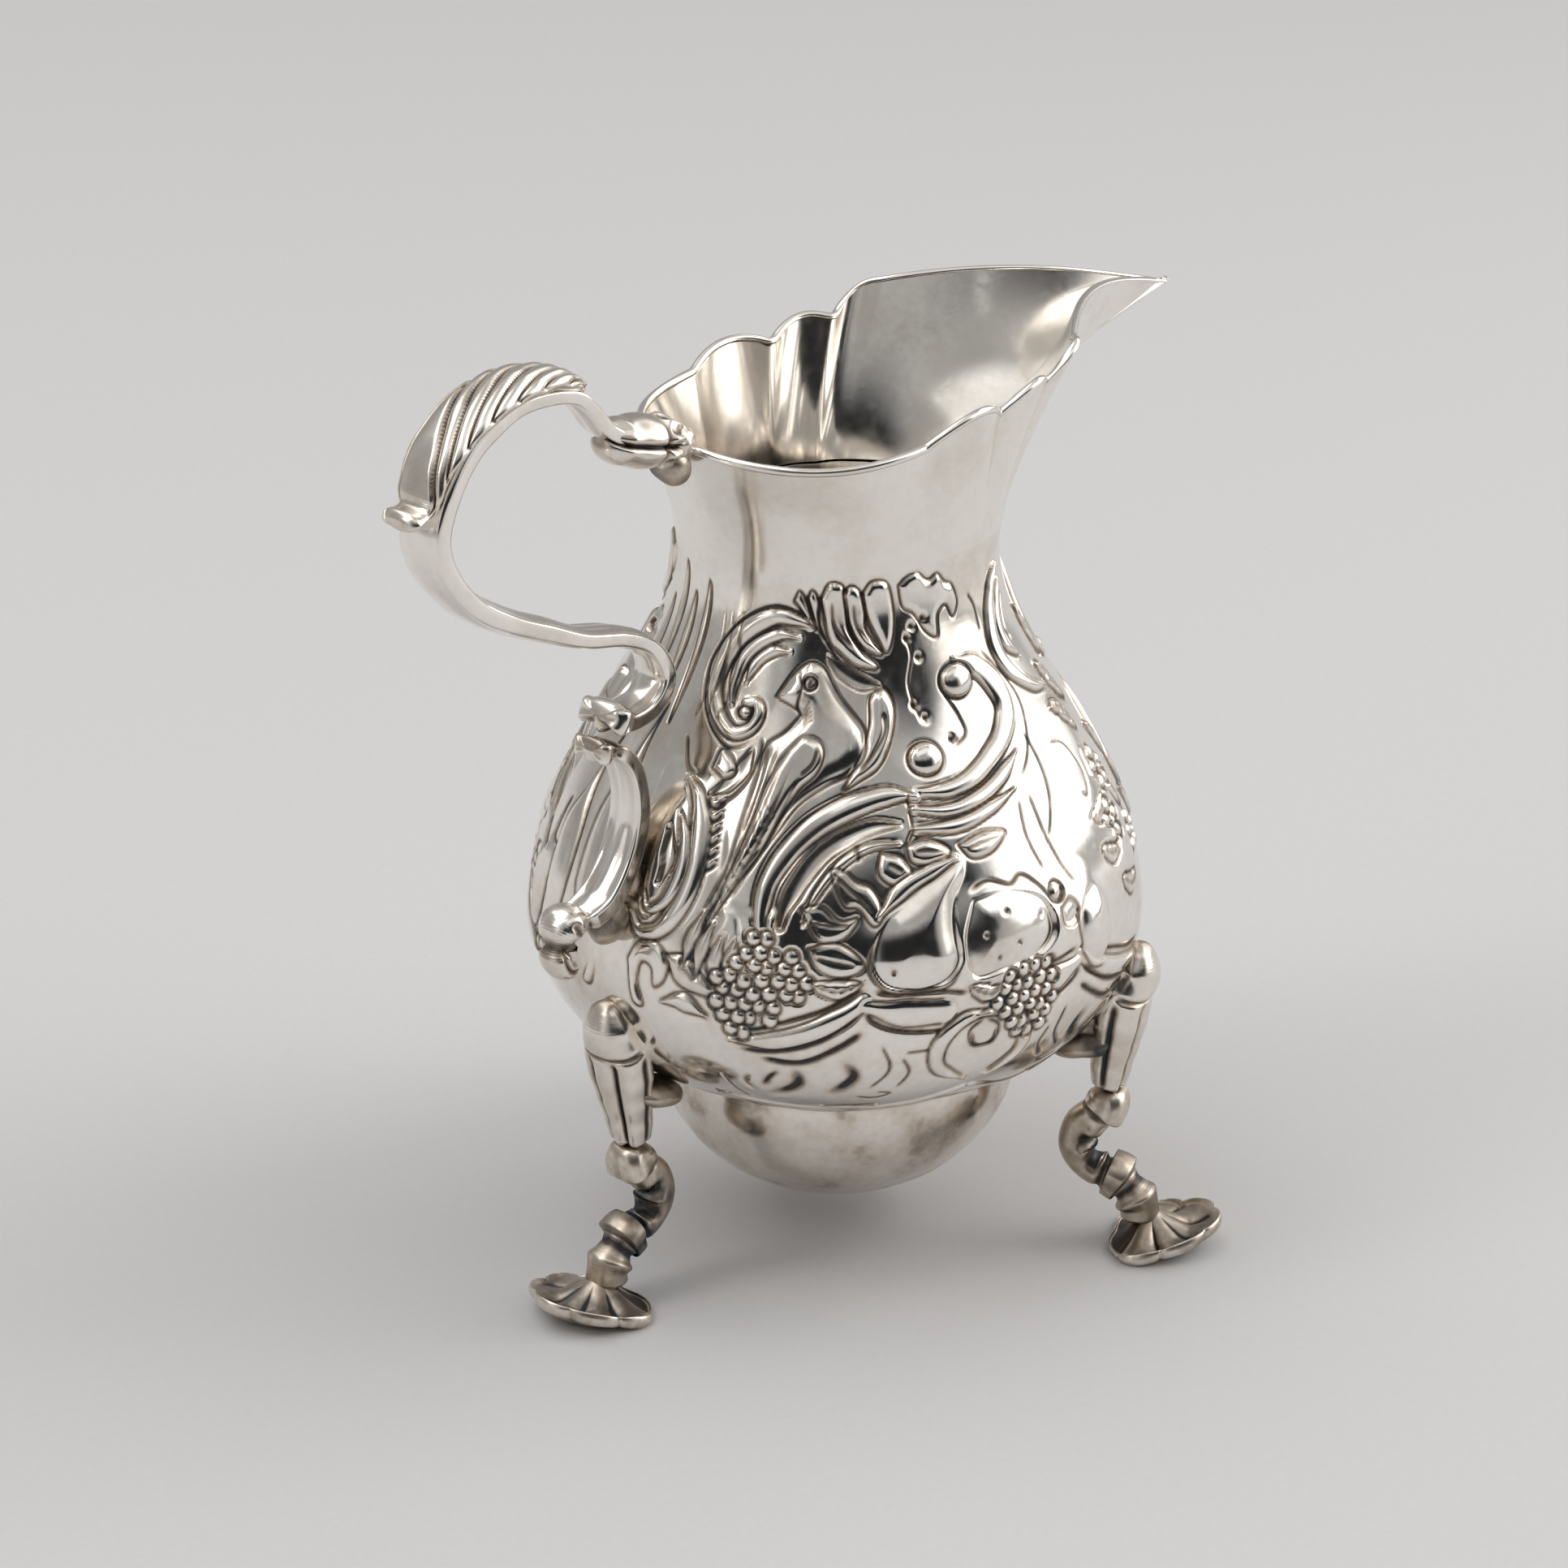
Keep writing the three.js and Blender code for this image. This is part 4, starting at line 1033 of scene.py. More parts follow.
# %% [markdown]
# ## Raising the body
# The whole wall is one grid: up the outside, round the rolled rim, and down the inside, 0.8 mm further in.
# Chasing moves each outside point along its own normal. The grid is then cut into rings, because one mesh
# would be too heavy; every ring keeps the whole wall's normals, so no seam shows where two of them meet.


# %% The wall as one grid
def dents(points, seed, low, high, count=18):
    """Soft unevenness in about -1..1: a sum of waves that run in random directions through space."""
    rng = np.random.default_rng(seed)
    total = np.zeros(points.shape[:-1])
    for _ in range(count):
        direction = rng.normal(size=3)
        direction *= rng.uniform(low, high) / np.linalg.norm(direction)
        total += np.sin(points @ direction + rng.uniform(0, 2 * np.pi))
    return total / np.sqrt(2 * count)


neck_rest = resample(neck_line[neck_line[:, 1] >= CHASED_TOP], 48)
neck_rest = np.vstack([chase_line[-1:], neck_rest[1:]])
outer_line = np.vstack([bowl_line, step_line[1:], chase_line[1:], neck_rest[1:]])
CHASE_START = len(bowl_line) + len(step_line) - 2
smooth_skin = skin(outer_line)
out = grid_normals(smooth_skin, False)
HAMMER_DEPTH, BOWL_DEPTH = 0.06, 0.05
raise_by = HAMMER_DEPTH * dents(smooth_skin, 4, 0.25, 0.9)
raise_by[:CHASE_START] += BOWL_DEPTH * dents(smooth_skin[:CHASE_START], 5, 0.4, 1.2)
raise_by[CHASE_START : CHASE_START + ROWS] += relief
outer = smooth_skin + raise_by[..., None] * out
inner = smooth_skin - WALL * out
tone_out = np.zeros(outer.shape[:2])
tone_out[CHASE_START : CHASE_START + ROWS] = tarnish
# The bowl's tone: 0.10 all over, partly tarnish and partly painted shade of the underside, plus tarnish that
# differs at random.
tone_out[:CHASE_START] = 0.10 + 0.18 * smooth(dents(smooth_skin[:CHASE_START], 6, 0.3, 1.1), 0.1, 0.9)
BEAD = 0.52
upwards = smooth_skin[-1] - smooth_skin[-2]
upwards /= np.linalg.norm(upwards, axis=1, keepdims=True)
angles = np.radians(np.linspace(-40, 220, 15))[:, None, None]
bead = smooth_skin[-1] - 0.5 * WALL * out[-1] + BEAD * (np.cos(angles) * out[-1] + np.sin(angles) * upwards)
whole = np.vstack([outer, bead, inner[::-1]])
whole_normals = grid_normals(whole, False)
whole_tone = np.vstack([tone_out, np.zeros(bead.shape[:2]), np.full(inner.shape[:2], 0.04)])
print("wall grid", whole.shape[:2])

# %% [markdown]
# The bowl closes in the middle of its underside. The rings above it are hoops with an outer and an inner
# skin, and the top one goes over the rim. Behind the chasing the inside is plain, so few of its rows are
# kept there.


# %% The body's rings
def wall_ring(name, first, last, material, closed=False):
    """Cuts rows first..last out of the wall, with the inside behind them, and makes a mesh of them."""
    total, count = len(whole), len(outer)
    seen = np.arange(first, last + 1)
    if last == count - 1:
        seen = np.arange(first, count + len(bead))
        behind = np.arange(last, first - 1, -2)
    elif closed:
        behind = np.arange(last, first - 1, -3)
    else:
        behind = np.unique(np.linspace(first, last, 9).astype(int))[::-1]
    rows = np.concatenate([seen, total - 1 - behind])
    mesh = mesh_from_grid(name, whole[rows], not closed, whole_normals[rows], whole_tone[rows])
    return add_piece(name, mesh, material, ["body"])


cuts = np.linspace(CHASE_START, CHASE_START + ROWS - 1, 5).astype(int)
wall_ring("bowl", 0, cuts[0], bowl_tarnish_and_painted_shade, closed=True)
ring_names = ("chased_belt", "chased_belly", "chased_shoulder", "chased_neck")
for name, first, last in zip(ring_names, cuts, cuts[1:]):
    wall_ring(name, first, last, chased)
wall_ring("neck_and_lip", cuts[-1], len(outer) - 1, polished)

# %% [markdown]
# ## Bars that follow a path
# The handle and legs were cast in sand moulds and then filed. Each is a bar whose section is an ellipse, or
# a squarer curve, carried along a path in an upright plane. A surface form is then added along its normal:
# grooves, beads and leaf ribs are all written as a height over the share along the bar and the angle round
# it.


# %% A bar along a path
PATH_STEPS, CAP_ROWS = 900, 12


def bar(path, across, deep, rows=240, cols=64, square=2.0, caps=(1.5, 1.5), form=None, turn=0.0):
    """Points of a bar: across is its half width along Y, deep its half thickness in the plane of the path.

    The section is |cos|^(2/square), |sin|^(2/square), with the signs of cos and sin. Both ends close like the
    end of an ellipse over a cap length. form(share, angle) gives extra height in mm along the normal, and
    tone. turn swings the bar round the jug's axis.
    """
    fine = spline(path, PATH_STEPS)
    run = run_length(fine)
    tangent = np.gradient(fine, run, axis=0)
    tangent /= np.linalg.norm(tangent, axis=1, keepdims=True)
    ease = 1 - np.cos(np.linspace(0.02, np.pi / 2, CAP_ROWS))
    place = np.concatenate(
        [caps[0] * ease, np.linspace(caps[0], run[-1] - caps[1], rows)[1:-1], run[-1] - caps[1] * ease[::-1]]
    )
    share = place / run[-1]
    centre = np.stack([np.interp(place, run, fine[:, k]) for k in (0, 1)], 1)
    ahead = np.stack([np.interp(place, run, tangent[:, k]) for k in (0, 1)], 1)
    ahead /= np.linalg.norm(ahead, axis=1, keepdims=True)
    close = np.sqrt(np.clip(1 - np.clip((caps[0] - place) / caps[0], 0, 1) ** 2, 0, 1))
    close *= np.sqrt(np.clip(1 - np.clip((place - run[-1] + caps[1]) / caps[1], 0, 1) ** 2, 0, 1))
    angle = np.linspace(0, 2 * np.pi, cols, endpoint=False)
    c, s = np.cos(angle), np.sin(angle)
    c, s = np.sign(c) * np.abs(c) ** (2 / square), np.sign(s) * np.abs(s) ** (2 / square)
    wide = (along(across, share) * close)[:, None] * c
    thick = (along(deep, share) * close)[:, None] * s
    x = centre[:, :1] - ahead[:, 1:] * thick
    z = centre[:, 1:] + ahead[:, :1] * thick
    points = np.stack([x, wide, z], -1)
    extra, tone = form(share[:, None], angle[None, :])
    extra = extra * smooth(close, 0.35, 0.9)[:, None]
    points = points + extra[..., None] * grid_normals(points, False)
    return swing(points, turn), tone + np.zeros(points.shape[:2])


def swing(points, degrees):
    """Turns points about the jug's upright axis."""
    c, s = np.cos(np.radians(degrees)), np.sin(np.radians(degrees))
    x, y, z = points[..., 0], points[..., 1], points[..., 2]
    return np.stack([x * c - y * s, x * s + y * c, z], -1)


def bump(x, middle, width):
    """A bell curve, 1 at its middle."""
    return np.exp(-(((x - middle) / width) ** 2))


def hollow_tone_of(points, amount, reach=6):
    """Tone for hollows: how far each point is under the average of its neighbours, in mm, times an amount."""
    mean = points.copy()
    for _ in range(3):
        mean = sum(np.roll(mean, k, 1) for k in range(-reach, reach + 1)) / (2 * reach + 1)
    normal = grid_normals(points, False)
    below = ((mean - points) * normal).sum(-1)
    return np.clip(amount * (below - np.median(below)), 0, 0.8)


def add_bar(name, bar_made, material, nodes, base=0.0, hollows=1.0):
    """Makes a bar's mesh, with tarnish in its hollows on top of its own tone, and adds it to the scene."""
    points, own_tone = bar_made
    tone = np.clip(base + own_tone + hollow_tone_of(points, hollows), 0, 1)
    return add_piece(name, mesh_from_grid(name, points, tone=tone), material, nodes)


# %% [markdown]
# ## The handle
# The upper scroll leaves the rim in a two-lobed bud, climbs to a small crown, comes down in a wide loop and
# curls in towards the neck. A ribbed leaf lies over its crown. The lower scroll is a short strap with two
# raised edges, and ends in a pinched drop against the belly.

# %% The upper scroll
upper_path = [(-33.2, 107.2), (-36.8, 109.4), (-39.4, 112.6), (-42.0, 114.6), (-46.4, 115.4), (-51.6, 115.0)]
upper_path += [(-56.6, 112.6), (-60.4, 108.6), (-62.4, 103.4), (-61.2, 98.8), (-57.6, 94.4), (-52.4, 91.0)]
upper_path += [(-46.8, 88.4), (-41.4, 86.0), (-35.2, 84.4), (-30.8, 82.0), (-29.0, 78.2), (-31.2, 75.2)]
upper_path += [(-35.0, 74.4), (-38.2, 75.6)]
upper_across = [2.2, 2.1, 2.2, 2.8, 3.3, 3.3, 3.1, 2.65, 2.5, 2.3, 2.65, 3.0]
upper_deep = [1.2, 1.1, 1.2, 1.7, 1.7, 1.7, 1.7, 1.5, 1.25, 1.25, 1.35, 1.35]


def strap_edges(share, angle):
    """A bead along both edges with a shallow channel inside it, on the side that faces the loop."""
    edge = np.abs(np.cos(angle))
    inward = smooth(np.sin(angle), -0.2, 0.3)
    curl = smooth(share, 0.84, 0.92)
    channel = bump(edge, 0.45, 0.34) * inward
    rolled_end = bump(share, 0.985, 0.010)
    height = (0.26 + 0.2 * curl) * bump(edge, 0.9, 0.10) - (0.28 + 0.5 * curl) * channel + 0.7 * rolled_end
    return height, 0.45 * curl * channel + 0.5 * bump(share, 0.963, 0.007)


points = bar(upper_path, upper_across, upper_deep, 560, 80, 2.3, (1.0, 1.4), strap_edges)
add_bar("upper_scroll", points, polished, ["handle_upper_scroll"], hollows=0.8)

# %% The ribbed leaf over the crown
leaf_path = [(-39.6, 114.9), (-44.6, 117.2), (-50.8, 117.3), (-56.6, 115.2), (-61.4, 111.2), (-63.6, 106.9),
             (-66.4, 105.2)]
GROOVE_STEP, GROOVE_SLANT = 0.125, 0.27


def leaf_ribs(share, angle):
    """Long grooves slant right across the leaf; past the first one it is a plain lobe with a rolled end."""
    outside = smooth(-np.sin(angle), -0.25, 0.15)
    across = np.cos(angle)
    count = (0.90 - share - GROOVE_SLANT * (across + 1)) / GROOVE_STEP
    grooved = smooth(count, -0.35, -0.1)
    notch = np.abs(np.sin(np.pi * count)) * grooved + (1 - grooved)
    edge_line = bump(across, 0.78, 0.04) * smooth(share, 0.1, 0.3)
    end_roll = 0.55 * bump(share, 0.965, 0.025) - 0.35 * bump(share, 0.90, 0.03)
    height = 0.75 * (notch**0.5 - 0.75) - 0.25 * edge_line + end_roll
    tone = 0.75 * np.clip(1 - 3.2 * notch, 0, 1) + 0.4 * edge_line
    return outside * height, outside * tone


leaf_across = [1.8, 3.6, 4.1, 4.2, 4.0, 3.4, 2.2]
leaf_deep = [0.8, 1.2, 1.45, 1.5, 1.3, 0.95, 0.9]
points = bar(leaf_path, leaf_across, leaf_deep, 300, 120, 2.2, (1.4, 1.0), leaf_ribs)
add_bar("crown_leaf", points, cast, ["handle_leaf"], 0.08, 1.5)

# %% [markdown]
# Where the handle meets the rim it swells into a bud of two lobes, with a seam between them, and a small
# ball hides the joint. The bud is one more bar. The ball is an ellipsoid, and so are the lumps of solder: a
# joint that was filled and never filed has no other shape.


# %% The bud at the rim
def bud_lobes(share, angle):
    """Two full lobes, over and under a seam, and a small ribbed shell where the bud meets the rim."""
    seam = bump(np.sin(angle), 0.0, 0.16)
    collar = bump(share, 0.34, 0.03)
    shell = smooth(share, 0.32, 0.26) * np.cos(9 * angle)
    height = 0.45 * np.abs(np.sin(angle)) - 0.75 * seam - 0.5 * collar + 0.3 * shell
    return height, 0.5 * seam + 0.7 * collar + 0.5 * np.clip(-shell, 0, 1)


bud_path = [(-25.6, 105.2), (-28.6, 106.0), (-31.6, 106.7), (-34.8, 107.5), (-37.0, 108.4)]
points = bar(bud_path, [2.2, 3.5, 3.9, 3.4, 2.0], [1.8, 2.5, 2.7, 2.3, 1.4], 120, 96, 2.0, (1.6, 1.6),
             bud_lobes)
add_bar("rim_bud", points, cast, ["handle_rim_bud"], 0.05, 1.4)


# %% Balls and lumps of solder
def lump(name, centre, half, tilt, material, nodes, rough, seed, turn=0, fine=(48, 72), pitch=(0.8, 2)):
    """An ellipsoid of latitude rows and longitude columns, tilted about Y and roughened by soft dents.

    A point is (cos rise cos round, cos rise sin round, sin rise) times the half sizes. pitch is the lowest
    and the highest speed of the dents' waves, in radians for a millimetre.
    """
    rise = np.linspace(-np.pi / 2, np.pi / 2, fine[0] + 2)[1:-1, None]
    round_angle = np.linspace(0, 2 * np.pi, fine[1], endpoint=False)[None, :]
    level = np.cos(rise)
    east, north = level * np.cos(round_angle), level * np.sin(round_angle)
    ball = np.stack([east, north, np.sin(rise) + 0 * round_angle], -1)
    body = ball * np.array(half)
    body = body + (rough * dents(body, seed, *pitch))[..., None] * ball
    c, s = np.cos(np.radians(tilt)), np.sin(np.radians(tilt))
    x = body[..., 0] * c + body[..., 2] * s + centre[0]
    z = body[..., 2] * c - body[..., 0] * s + centre[2]
    points = swing(np.stack([x, body[..., 1] + centre[1], z], -1), turn)
    tone = 0.12 + 0.3 * smooth(dents(points, seed + 9, *pitch), 0.0, 1.0)
    return add_piece(name, mesh_from_grid(name, points, tone=tone), material, nodes)


lump("rim_ball", (-25.6, 0, 105.0), (2.3, 2.5, 2.2), 0, cast, ["handle_rim_bud"],
     0.10, 2, fine=(90, 140), pitch=(3.5, 6.0))

# %% [markdown]
# The lower scroll is the same kind of bar with a flatter section. It starts in a small roll, and its two
# edges are raised by bell curves over the angle, as a file leaves them.

# %% The lower scroll
lower_path = [(-39.6, 71.6), (-36.4, 70.9), (-33.9, 67.6), (-33.3, 62.6), (-34.8, 57.4), (-38.0, 53.0),
              (-41.6, 51.2)]


def lower_edges(share, angle):
    """A rolled start, and a flat strap with a bright bead along both of its edges on the outside."""
    edge = np.abs(np.cos(angle))
    outside = smooth(-np.sin(angle), -0.2, 0.3)
    start = bump(share, 0.03, 0.025) - 0.6 * bump(share, 0.085, 0.02)
    height = 0.38 * bump(edge, 0.88, 0.12) - 0.22 * bump(edge, 0.4, 0.3) * outside + 0.6 * start
    return height, 0.5 * bump(share, 0.085, 0.02) + 0.35 * (1 - outside)


points = bar(lower_path, [2.2, 2.5, 2.3, 2.4, 2.5, 2.6, 2.4], [0.9, 1.0, 1.1, 1.2, 1.3, 1.4, 1.3], 300, 80,
             2.5, (1.2, 1.0), lower_edges)
add_bar("lower_scroll", points, polished, ["handle_lower_scroll"], hollows=1.0)


# %% [markdown]
# The drop ends the handle against the belly. It is pinched in the middle, so one bar makes a round lobe and
# a leaf lobe. The two lumps of solder that hold the handle to the body follow it.


# %% The drop
def drop_lobes(share, angle):
    """A waist half way along parts the drop into a round lobe and a leaf lobe, with a seam on each side."""
    waist = bump(share, 0.5, 0.07)
    seam = bump(np.sin(angle), 0.0, 0.22) * smooth(share, 0.45, 0.7)
    eye = bump(share, 0.25, 0.035) * bump(np.abs(np.cos(angle)), 1.0, 0.12)
    height = 0.3 * bump(share, 0.25, 0.12) - 0.9 * waist - 0.45 * seam - 0.4 * eye
    return height, 0.7 * waist + 0.5 * seam + 0.7 * eye


drop_path = [(-41.2, 51.6), (-44.0, 51.4), (-45.4, 48.9), (-44.6, 46.3), (-42.0, 45.4)]
points = bar(drop_path, [2.4, 2.8, 2.3, 2.3, 1.3], [1.5, 1.8, 1.6, 1.5, 0.9], 160, 80, 2.1, (1.4, 1.6),
             drop_lobes)
add_bar("lower_drop", points, cast, ["handle_drop"], 0.05, 1.4)
lump("top_solder", (-26.4, 0, 102.4), (2.6, 2.6, 2.0), 50, solder_grey, ["handle_top_solder"],
     0.18, 11)
lump("foot_solder", (-37.4, 0, 50.0), (2.8, 2.6, 3.2), 0, solder_grey, ["handle_foot_solder"],
     0.2, 12)

# %% [markdown]
# ## The legs
# Three legs stand at 180, 60 and -60 degrees. Each has a knee with a round knob over three flat reeds, a
# flared collar, a knobbly stalk that bows in, and a scallop shell to stand on. They keep more tarnish than
# the body, because a polishing cloth doesn't reach into them.


# %% The knee's surface
def knee_reeds(share, angle):
    """Two grooves part the outside into three reeds; a dimple beside the knob and a step under it."""
    outside = smooth(np.sin(angle), -0.25, 0.1)
    grooves = np.clip(bump(np.cos(angle), 0.42, 0.07) + bump(np.cos(angle), -0.42, 0.07), 0, 1)
    grooves = grooves + 0.8 * bump(np.sin(angle), -0.1, 0.10)
    grooves = grooves * smooth(share, 0.33, 0.42) * smooth(share, 1.0, 0.92)
    knob = 0.9 * bump(share, 0.2, 0.085) * outside * bump(np.cos(angle), 0.0, 0.8)
    under_knob = bump(share, 0.315, 0.022) * outside
    facet = 0.22 * smooth(share, 0.3, 0.42) * np.cos(2 * np.pi * np.cos(angle) / 0.84)
    return knob - 0.45 * under_knob - 0.6 * grooves + facet * outside, 0.8 * grooves + 0.6 * under_knob


# %% [markdown]
# The stalk looks as if it were turned and then bent. Its knobs stand only on the side that the bend hollows
# out, so they are waves along the bar that fade away on the other side.


# %% The stalk's surface
def stalk_knobs(share, angle):
    """A collar like a low pyramid, knobs in the bend's hollow, a square ring and a round ankle ring."""
    hollow_side = smooth(np.sin(angle), -0.15, 0.45)
    pyramid = np.clip(share / 0.125, 0, 1) * smooth(share, 0.155, 0.13)
    corners = np.abs(np.cos(2 * (angle - np.pi / 4))) ** 2
    collar = pyramid * (0.75 * hollow_side + 0.35) * (0.75 + 0.45 * corners)
    bumps = np.sin(2 * np.pi * (4.6 * share + 0.10 * np.cos(angle) + 0.25)) * smooth(share, 0.18, 0.26)
    bumps = bumps * smooth(share, 0.66, 0.60) * hollow_side
    ring = smooth(np.abs(share - 0.71), 0.052, 0.036) * (0.35 + 0.55 * hollow_side + 0.2 * corners)
    ankle_ring = bump(share, 0.87, 0.028)
    creases = bump(share, 0.795, 0.022) + bump(share, 0.64, 0.018) + bump(share, 0.165, 0.014)
    height = collar + 0.5 * bumps + ring + 0.5 * ankle_ring - 0.25 * creases
    return height, 0.5 * creases + 0.45 * np.clip(-bumps, 0, 1) + 0.12 * smooth(share, 0.16, 0.25)


# %% [markdown]
# The leg's places are worked out from the belly's radius, so a wider belly would carry its legs outwards
# with it.

# %% The leg's path
KNEE_R, COLLAR_R, COLLAR_Z = BELLY_R + 2.0, BELLY_R - 2.9, 18.2
FOOT_R = COLLAR_R + 5.5
ANKLE_R, ANKLE_Z = FOOT_R - 1.6, 5.0
knee_path = [(BELLY_R + 0.6, BELLY_Z - 1.0), (BELLY_R + 0.5, BELLY_Z - 3.6), (KNEE_R - 2.8, BELLY_Z - 7.4)]
knee_path += [(KNEE_R - 3.6, BELLY_Z - 11.6), (COLLAR_R + 0.5, COLLAR_Z + 6.0), (COLLAR_R, COLLAR_Z + 1.9)]
stalk_path = [(COLLAR_R, COLLAR_Z + 1.9), (COLLAR_R, COLLAR_Z), (COLLAR_R - 1.2, COLLAR_Z - 2.0)]
stalk_path += [(COLLAR_R - 3.1, COLLAR_Z - 3.8), (COLLAR_R - 3.6, COLLAR_Z - 6.8)]
stalk_path += [(ANKLE_R - 5.4, ANKLE_Z + 4.0)]
stalk_path += [(ANKLE_R - 1.8, ANKLE_Z + 2.4), (ANKLE_R + 0.2, ANKLE_Z), (ANKLE_R + 0.6, ANKLE_Z - 2.4)]
stalk_across = [2.1, 2.4, 2.3, 2.3, 2.3, 2.2, 2.2, 2.1, 2.3, 2.2, 2.4, 2.6]
stalk_deep = [1.9, 2.2, 2.2, 2.2, 2.2, 2.1, 2.1, 2.0, 2.2, 2.1, 2.3, 2.4]
print("collar", round(COLLAR_R, 1), "mm and ankle", round(ANKLE_R, 1), "mm from the axis")

# %% [markdown]
# ## The shell feet
# A scallop shell is easiest as a disc: the rows run from the middle of the underside out to the edge, over
# it, and back to the middle on top. The edge swells where a rib ends, the ribs fan out from the heel, and
# the outer edge curls up from the table.

# %% Shell foot
FOOT_SIDE, FOOT_TOE, FOOT_HEEL, FOOT_PAD = 7.4, 8.6, 4.6, 0.58
TOE_LIFT, FOOT_THICK, RIB_STEP = 3.0, 0.95, np.radians(44)
EDGE_FROM, POLE = 0.955, 0.06


def shell_foot(turn):
    """Reach is an ellipse, longer at the toe; height is the curl of the edge, the crown and the ribs."""
    a = np.linspace(-np.pi, np.pi, 300, endpoint=False)[None, :]
    rim_round = np.linspace(-np.pi / 2, np.pi / 2, 13)[:, None]
    low = np.linspace(POLE, EDGE_FROM, 24)[:, None]
    high = np.linspace(EDGE_FROM, POLE, 60)[:, None]
    share = np.vstack([low, EDGE_FROM + (1 - EDGE_FROM) * np.cos(rim_round), high])
    top = np.vstack([0 * low, (np.sin(rim_round) + 1) / 2, 1 + 0 * high])
    rib = np.abs(np.cos(np.pi * a / RIB_STEP)) ** 0.45 * smooth(np.cos(a), -0.5, -0.25)
    forward = np.cos(a) > 0
    plain = np.hypot(np.cos(a) * np.where(forward, FOOT_TOE, FOOT_HEEL), np.sin(a) * FOOT_SIDE)
    reach = (plain + 0.75 * (rib - 0.5) * smooth(share, 0.5, 1.0)) * share
    past_pad = np.maximum(0, (share - FOOT_PAD) / (1 - FOOT_PAD))
    curl = TOE_LIFT * np.maximum(0, np.cos(a)) ** 1.2 * past_pad**1.4
    crown = (ANKLE_Z - FOOT_THICK - 0.4) * (1 - share) ** 1.6
    ribs = (0.85 * rib - 0.6) * smooth(share, 0.15, 0.6) * smooth(share, 1.0, 0.93)
    roll = 0.55 * bump(share, 0.965, 0.035) * smooth(np.cos(a), -0.4, 0.2)
    z = curl + top * (FOOT_THICK + crown + ribs + roll)
    points = np.stack([FOOT_R + reach * np.cos(a), reach * np.sin(a), z], -1)
    hidden = smooth(share, 0.95, 0.86)
    between_ribs = 0.28 + 0.6 * smooth(rib, 0.75, 0.2) * smooth(share, 0.15, 0.4)
    tone = 0.02 + top * hidden * between_ribs + 0.3 * (1 - top) * hidden
    return swing(points, turn), np.clip(tone + 0 * a, 0, 1)


# %% The three legs
for side, turn in (("rear", 180), ("left", 60), ("right", -60)):
    points = bar(knee_path, [1.8, 3.3, 4.3, 4.1, 3.5, 2.9, 2.4], [1.2, 2.2, 3.1, 3.1, 2.8, 2.4, 2.0], 200,
                 112, 2.4, (1.2, 0.8), knee_reeds, turn)
    add_bar("knee_" + side + "_cast", points, cast, ["knee_" + side], 0.06, 1.5)
    points = bar(stalk_path, stalk_across, stalk_deep, 260, 84, 2.2, (1.0, 0.8), stalk_knobs, turn)
    add_bar("stalk_" + side + "_cast", points, toned, ["stalk_" + side], 0.10, 1.6)
    points, tone = shell_foot(turn)
    foot = mesh_from_grid("shell_" + side, points, tone=tone)
    add_piece("shell_" + side, foot, toned, ["shell_foot_" + side])
    lump("solder_" + side, (COLLAR_R - 2.2, 0, LEDGE[1] + 1.2), (5.0, 4.2, 1.8), -17, solder_grey,
         ["knee_solder_" + side], 0.2, 380 + turn, turn)

# %% [markdown]
# ## The studio
# Polished silver shows what stands round it, so the room matters as much as the lamps: a pale table, a pale
# room with a darker side behind the camera, and tall bright windows whose white shapes run down the belly.

# %% Table
stage_mesh = bpy.data.meshes.new("table")
TABLE_HALF = 4.0
corners = [(TABLE_HALF * x, TABLE_HALF * y, 0) for x, y in ((-1, -1), (1, -1), (1, 1), (-1, 1))]
stage_mesh.from_pydata(corners, [], [(0, 1, 2, 3)])
table = bpy.data.objects.new("table", stage_mesh)
bpy.context.scene.collection.objects.link(table)
paper = Recipe(bpy.data.materials.new("pale paper"))
paper_where = paper.make("ShaderNodeTexCoord", {}, {}, "Object")
paper_grain = paper.noise(paper_where, 900.0, 2.0)
paper_colour = paper.colours(paper_grain, (0.58, 0.575, 0.58, 1), (0.61, 0.605, 0.61, 1))
paper_sockets = {"Base Color": paper_colour, "Roughness": 0.9, "Specular IOR Level": 0.15}
sheet = paper.make("ShaderNodeBsdfPrincipled", {}, paper_sockets)
paper.make("ShaderNodeOutputMaterial", {}, {"Surface": sheet})
stage_mesh.materials.append(paper.owner)
print("table:", 2 * TABLE_HALF, "m square")

# %% [markdown]
# ## The camera and the room
# The camera looks down 23 degrees from beyond the handle's side, a long lens at arm's length, so that the
# legs hardly spread. The matrix below has the camera's own right, up and back as its columns.

# %% Camera
AZIMUTH, ELEVATION, ROLL, DISTANCE = np.radians(-44), np.radians(23), np.radians(-0.2), 0.600
LENS, SENSOR = 115.2, 36.0
AIM_ACROSS, AIM_Z = -6.3, 55.7
right = np.array([np.cos(AZIMUTH), np.sin(AZIMUTH), 0])
level_back = np.array([np.sin(AZIMUTH), -np.cos(AZIMUTH), 0])
back = level_back * np.cos(ELEVATION) + [0, 0, np.sin(ELEVATION)]
up = np.cross(back, right)
level_right = right * np.cos(ROLL) + up * np.sin(ROLL)
level_up = up * np.cos(ROLL) - right * np.sin(ROLL)
aim = (AXIS + AIM_ACROSS * right + [0, 0, AIM_Z]) * MM
camera_data = bpy.data.cameras.new("camera")
camera_data.lens = LENS
camera_data.sensor_width = SENSOR
camera = bpy.data.objects.new("camera", camera_data)
bpy.context.scene.collection.objects.link(camera)
stand = aim + DISTANCE * back
placed = np.eye(4)
placed[:3] = np.stack([level_right, level_up, back, stand], 1)
camera.matrix_world = Matrix(placed.tolist())
bpy.context.scene.camera = camera
print("camera at", stand.round(3))

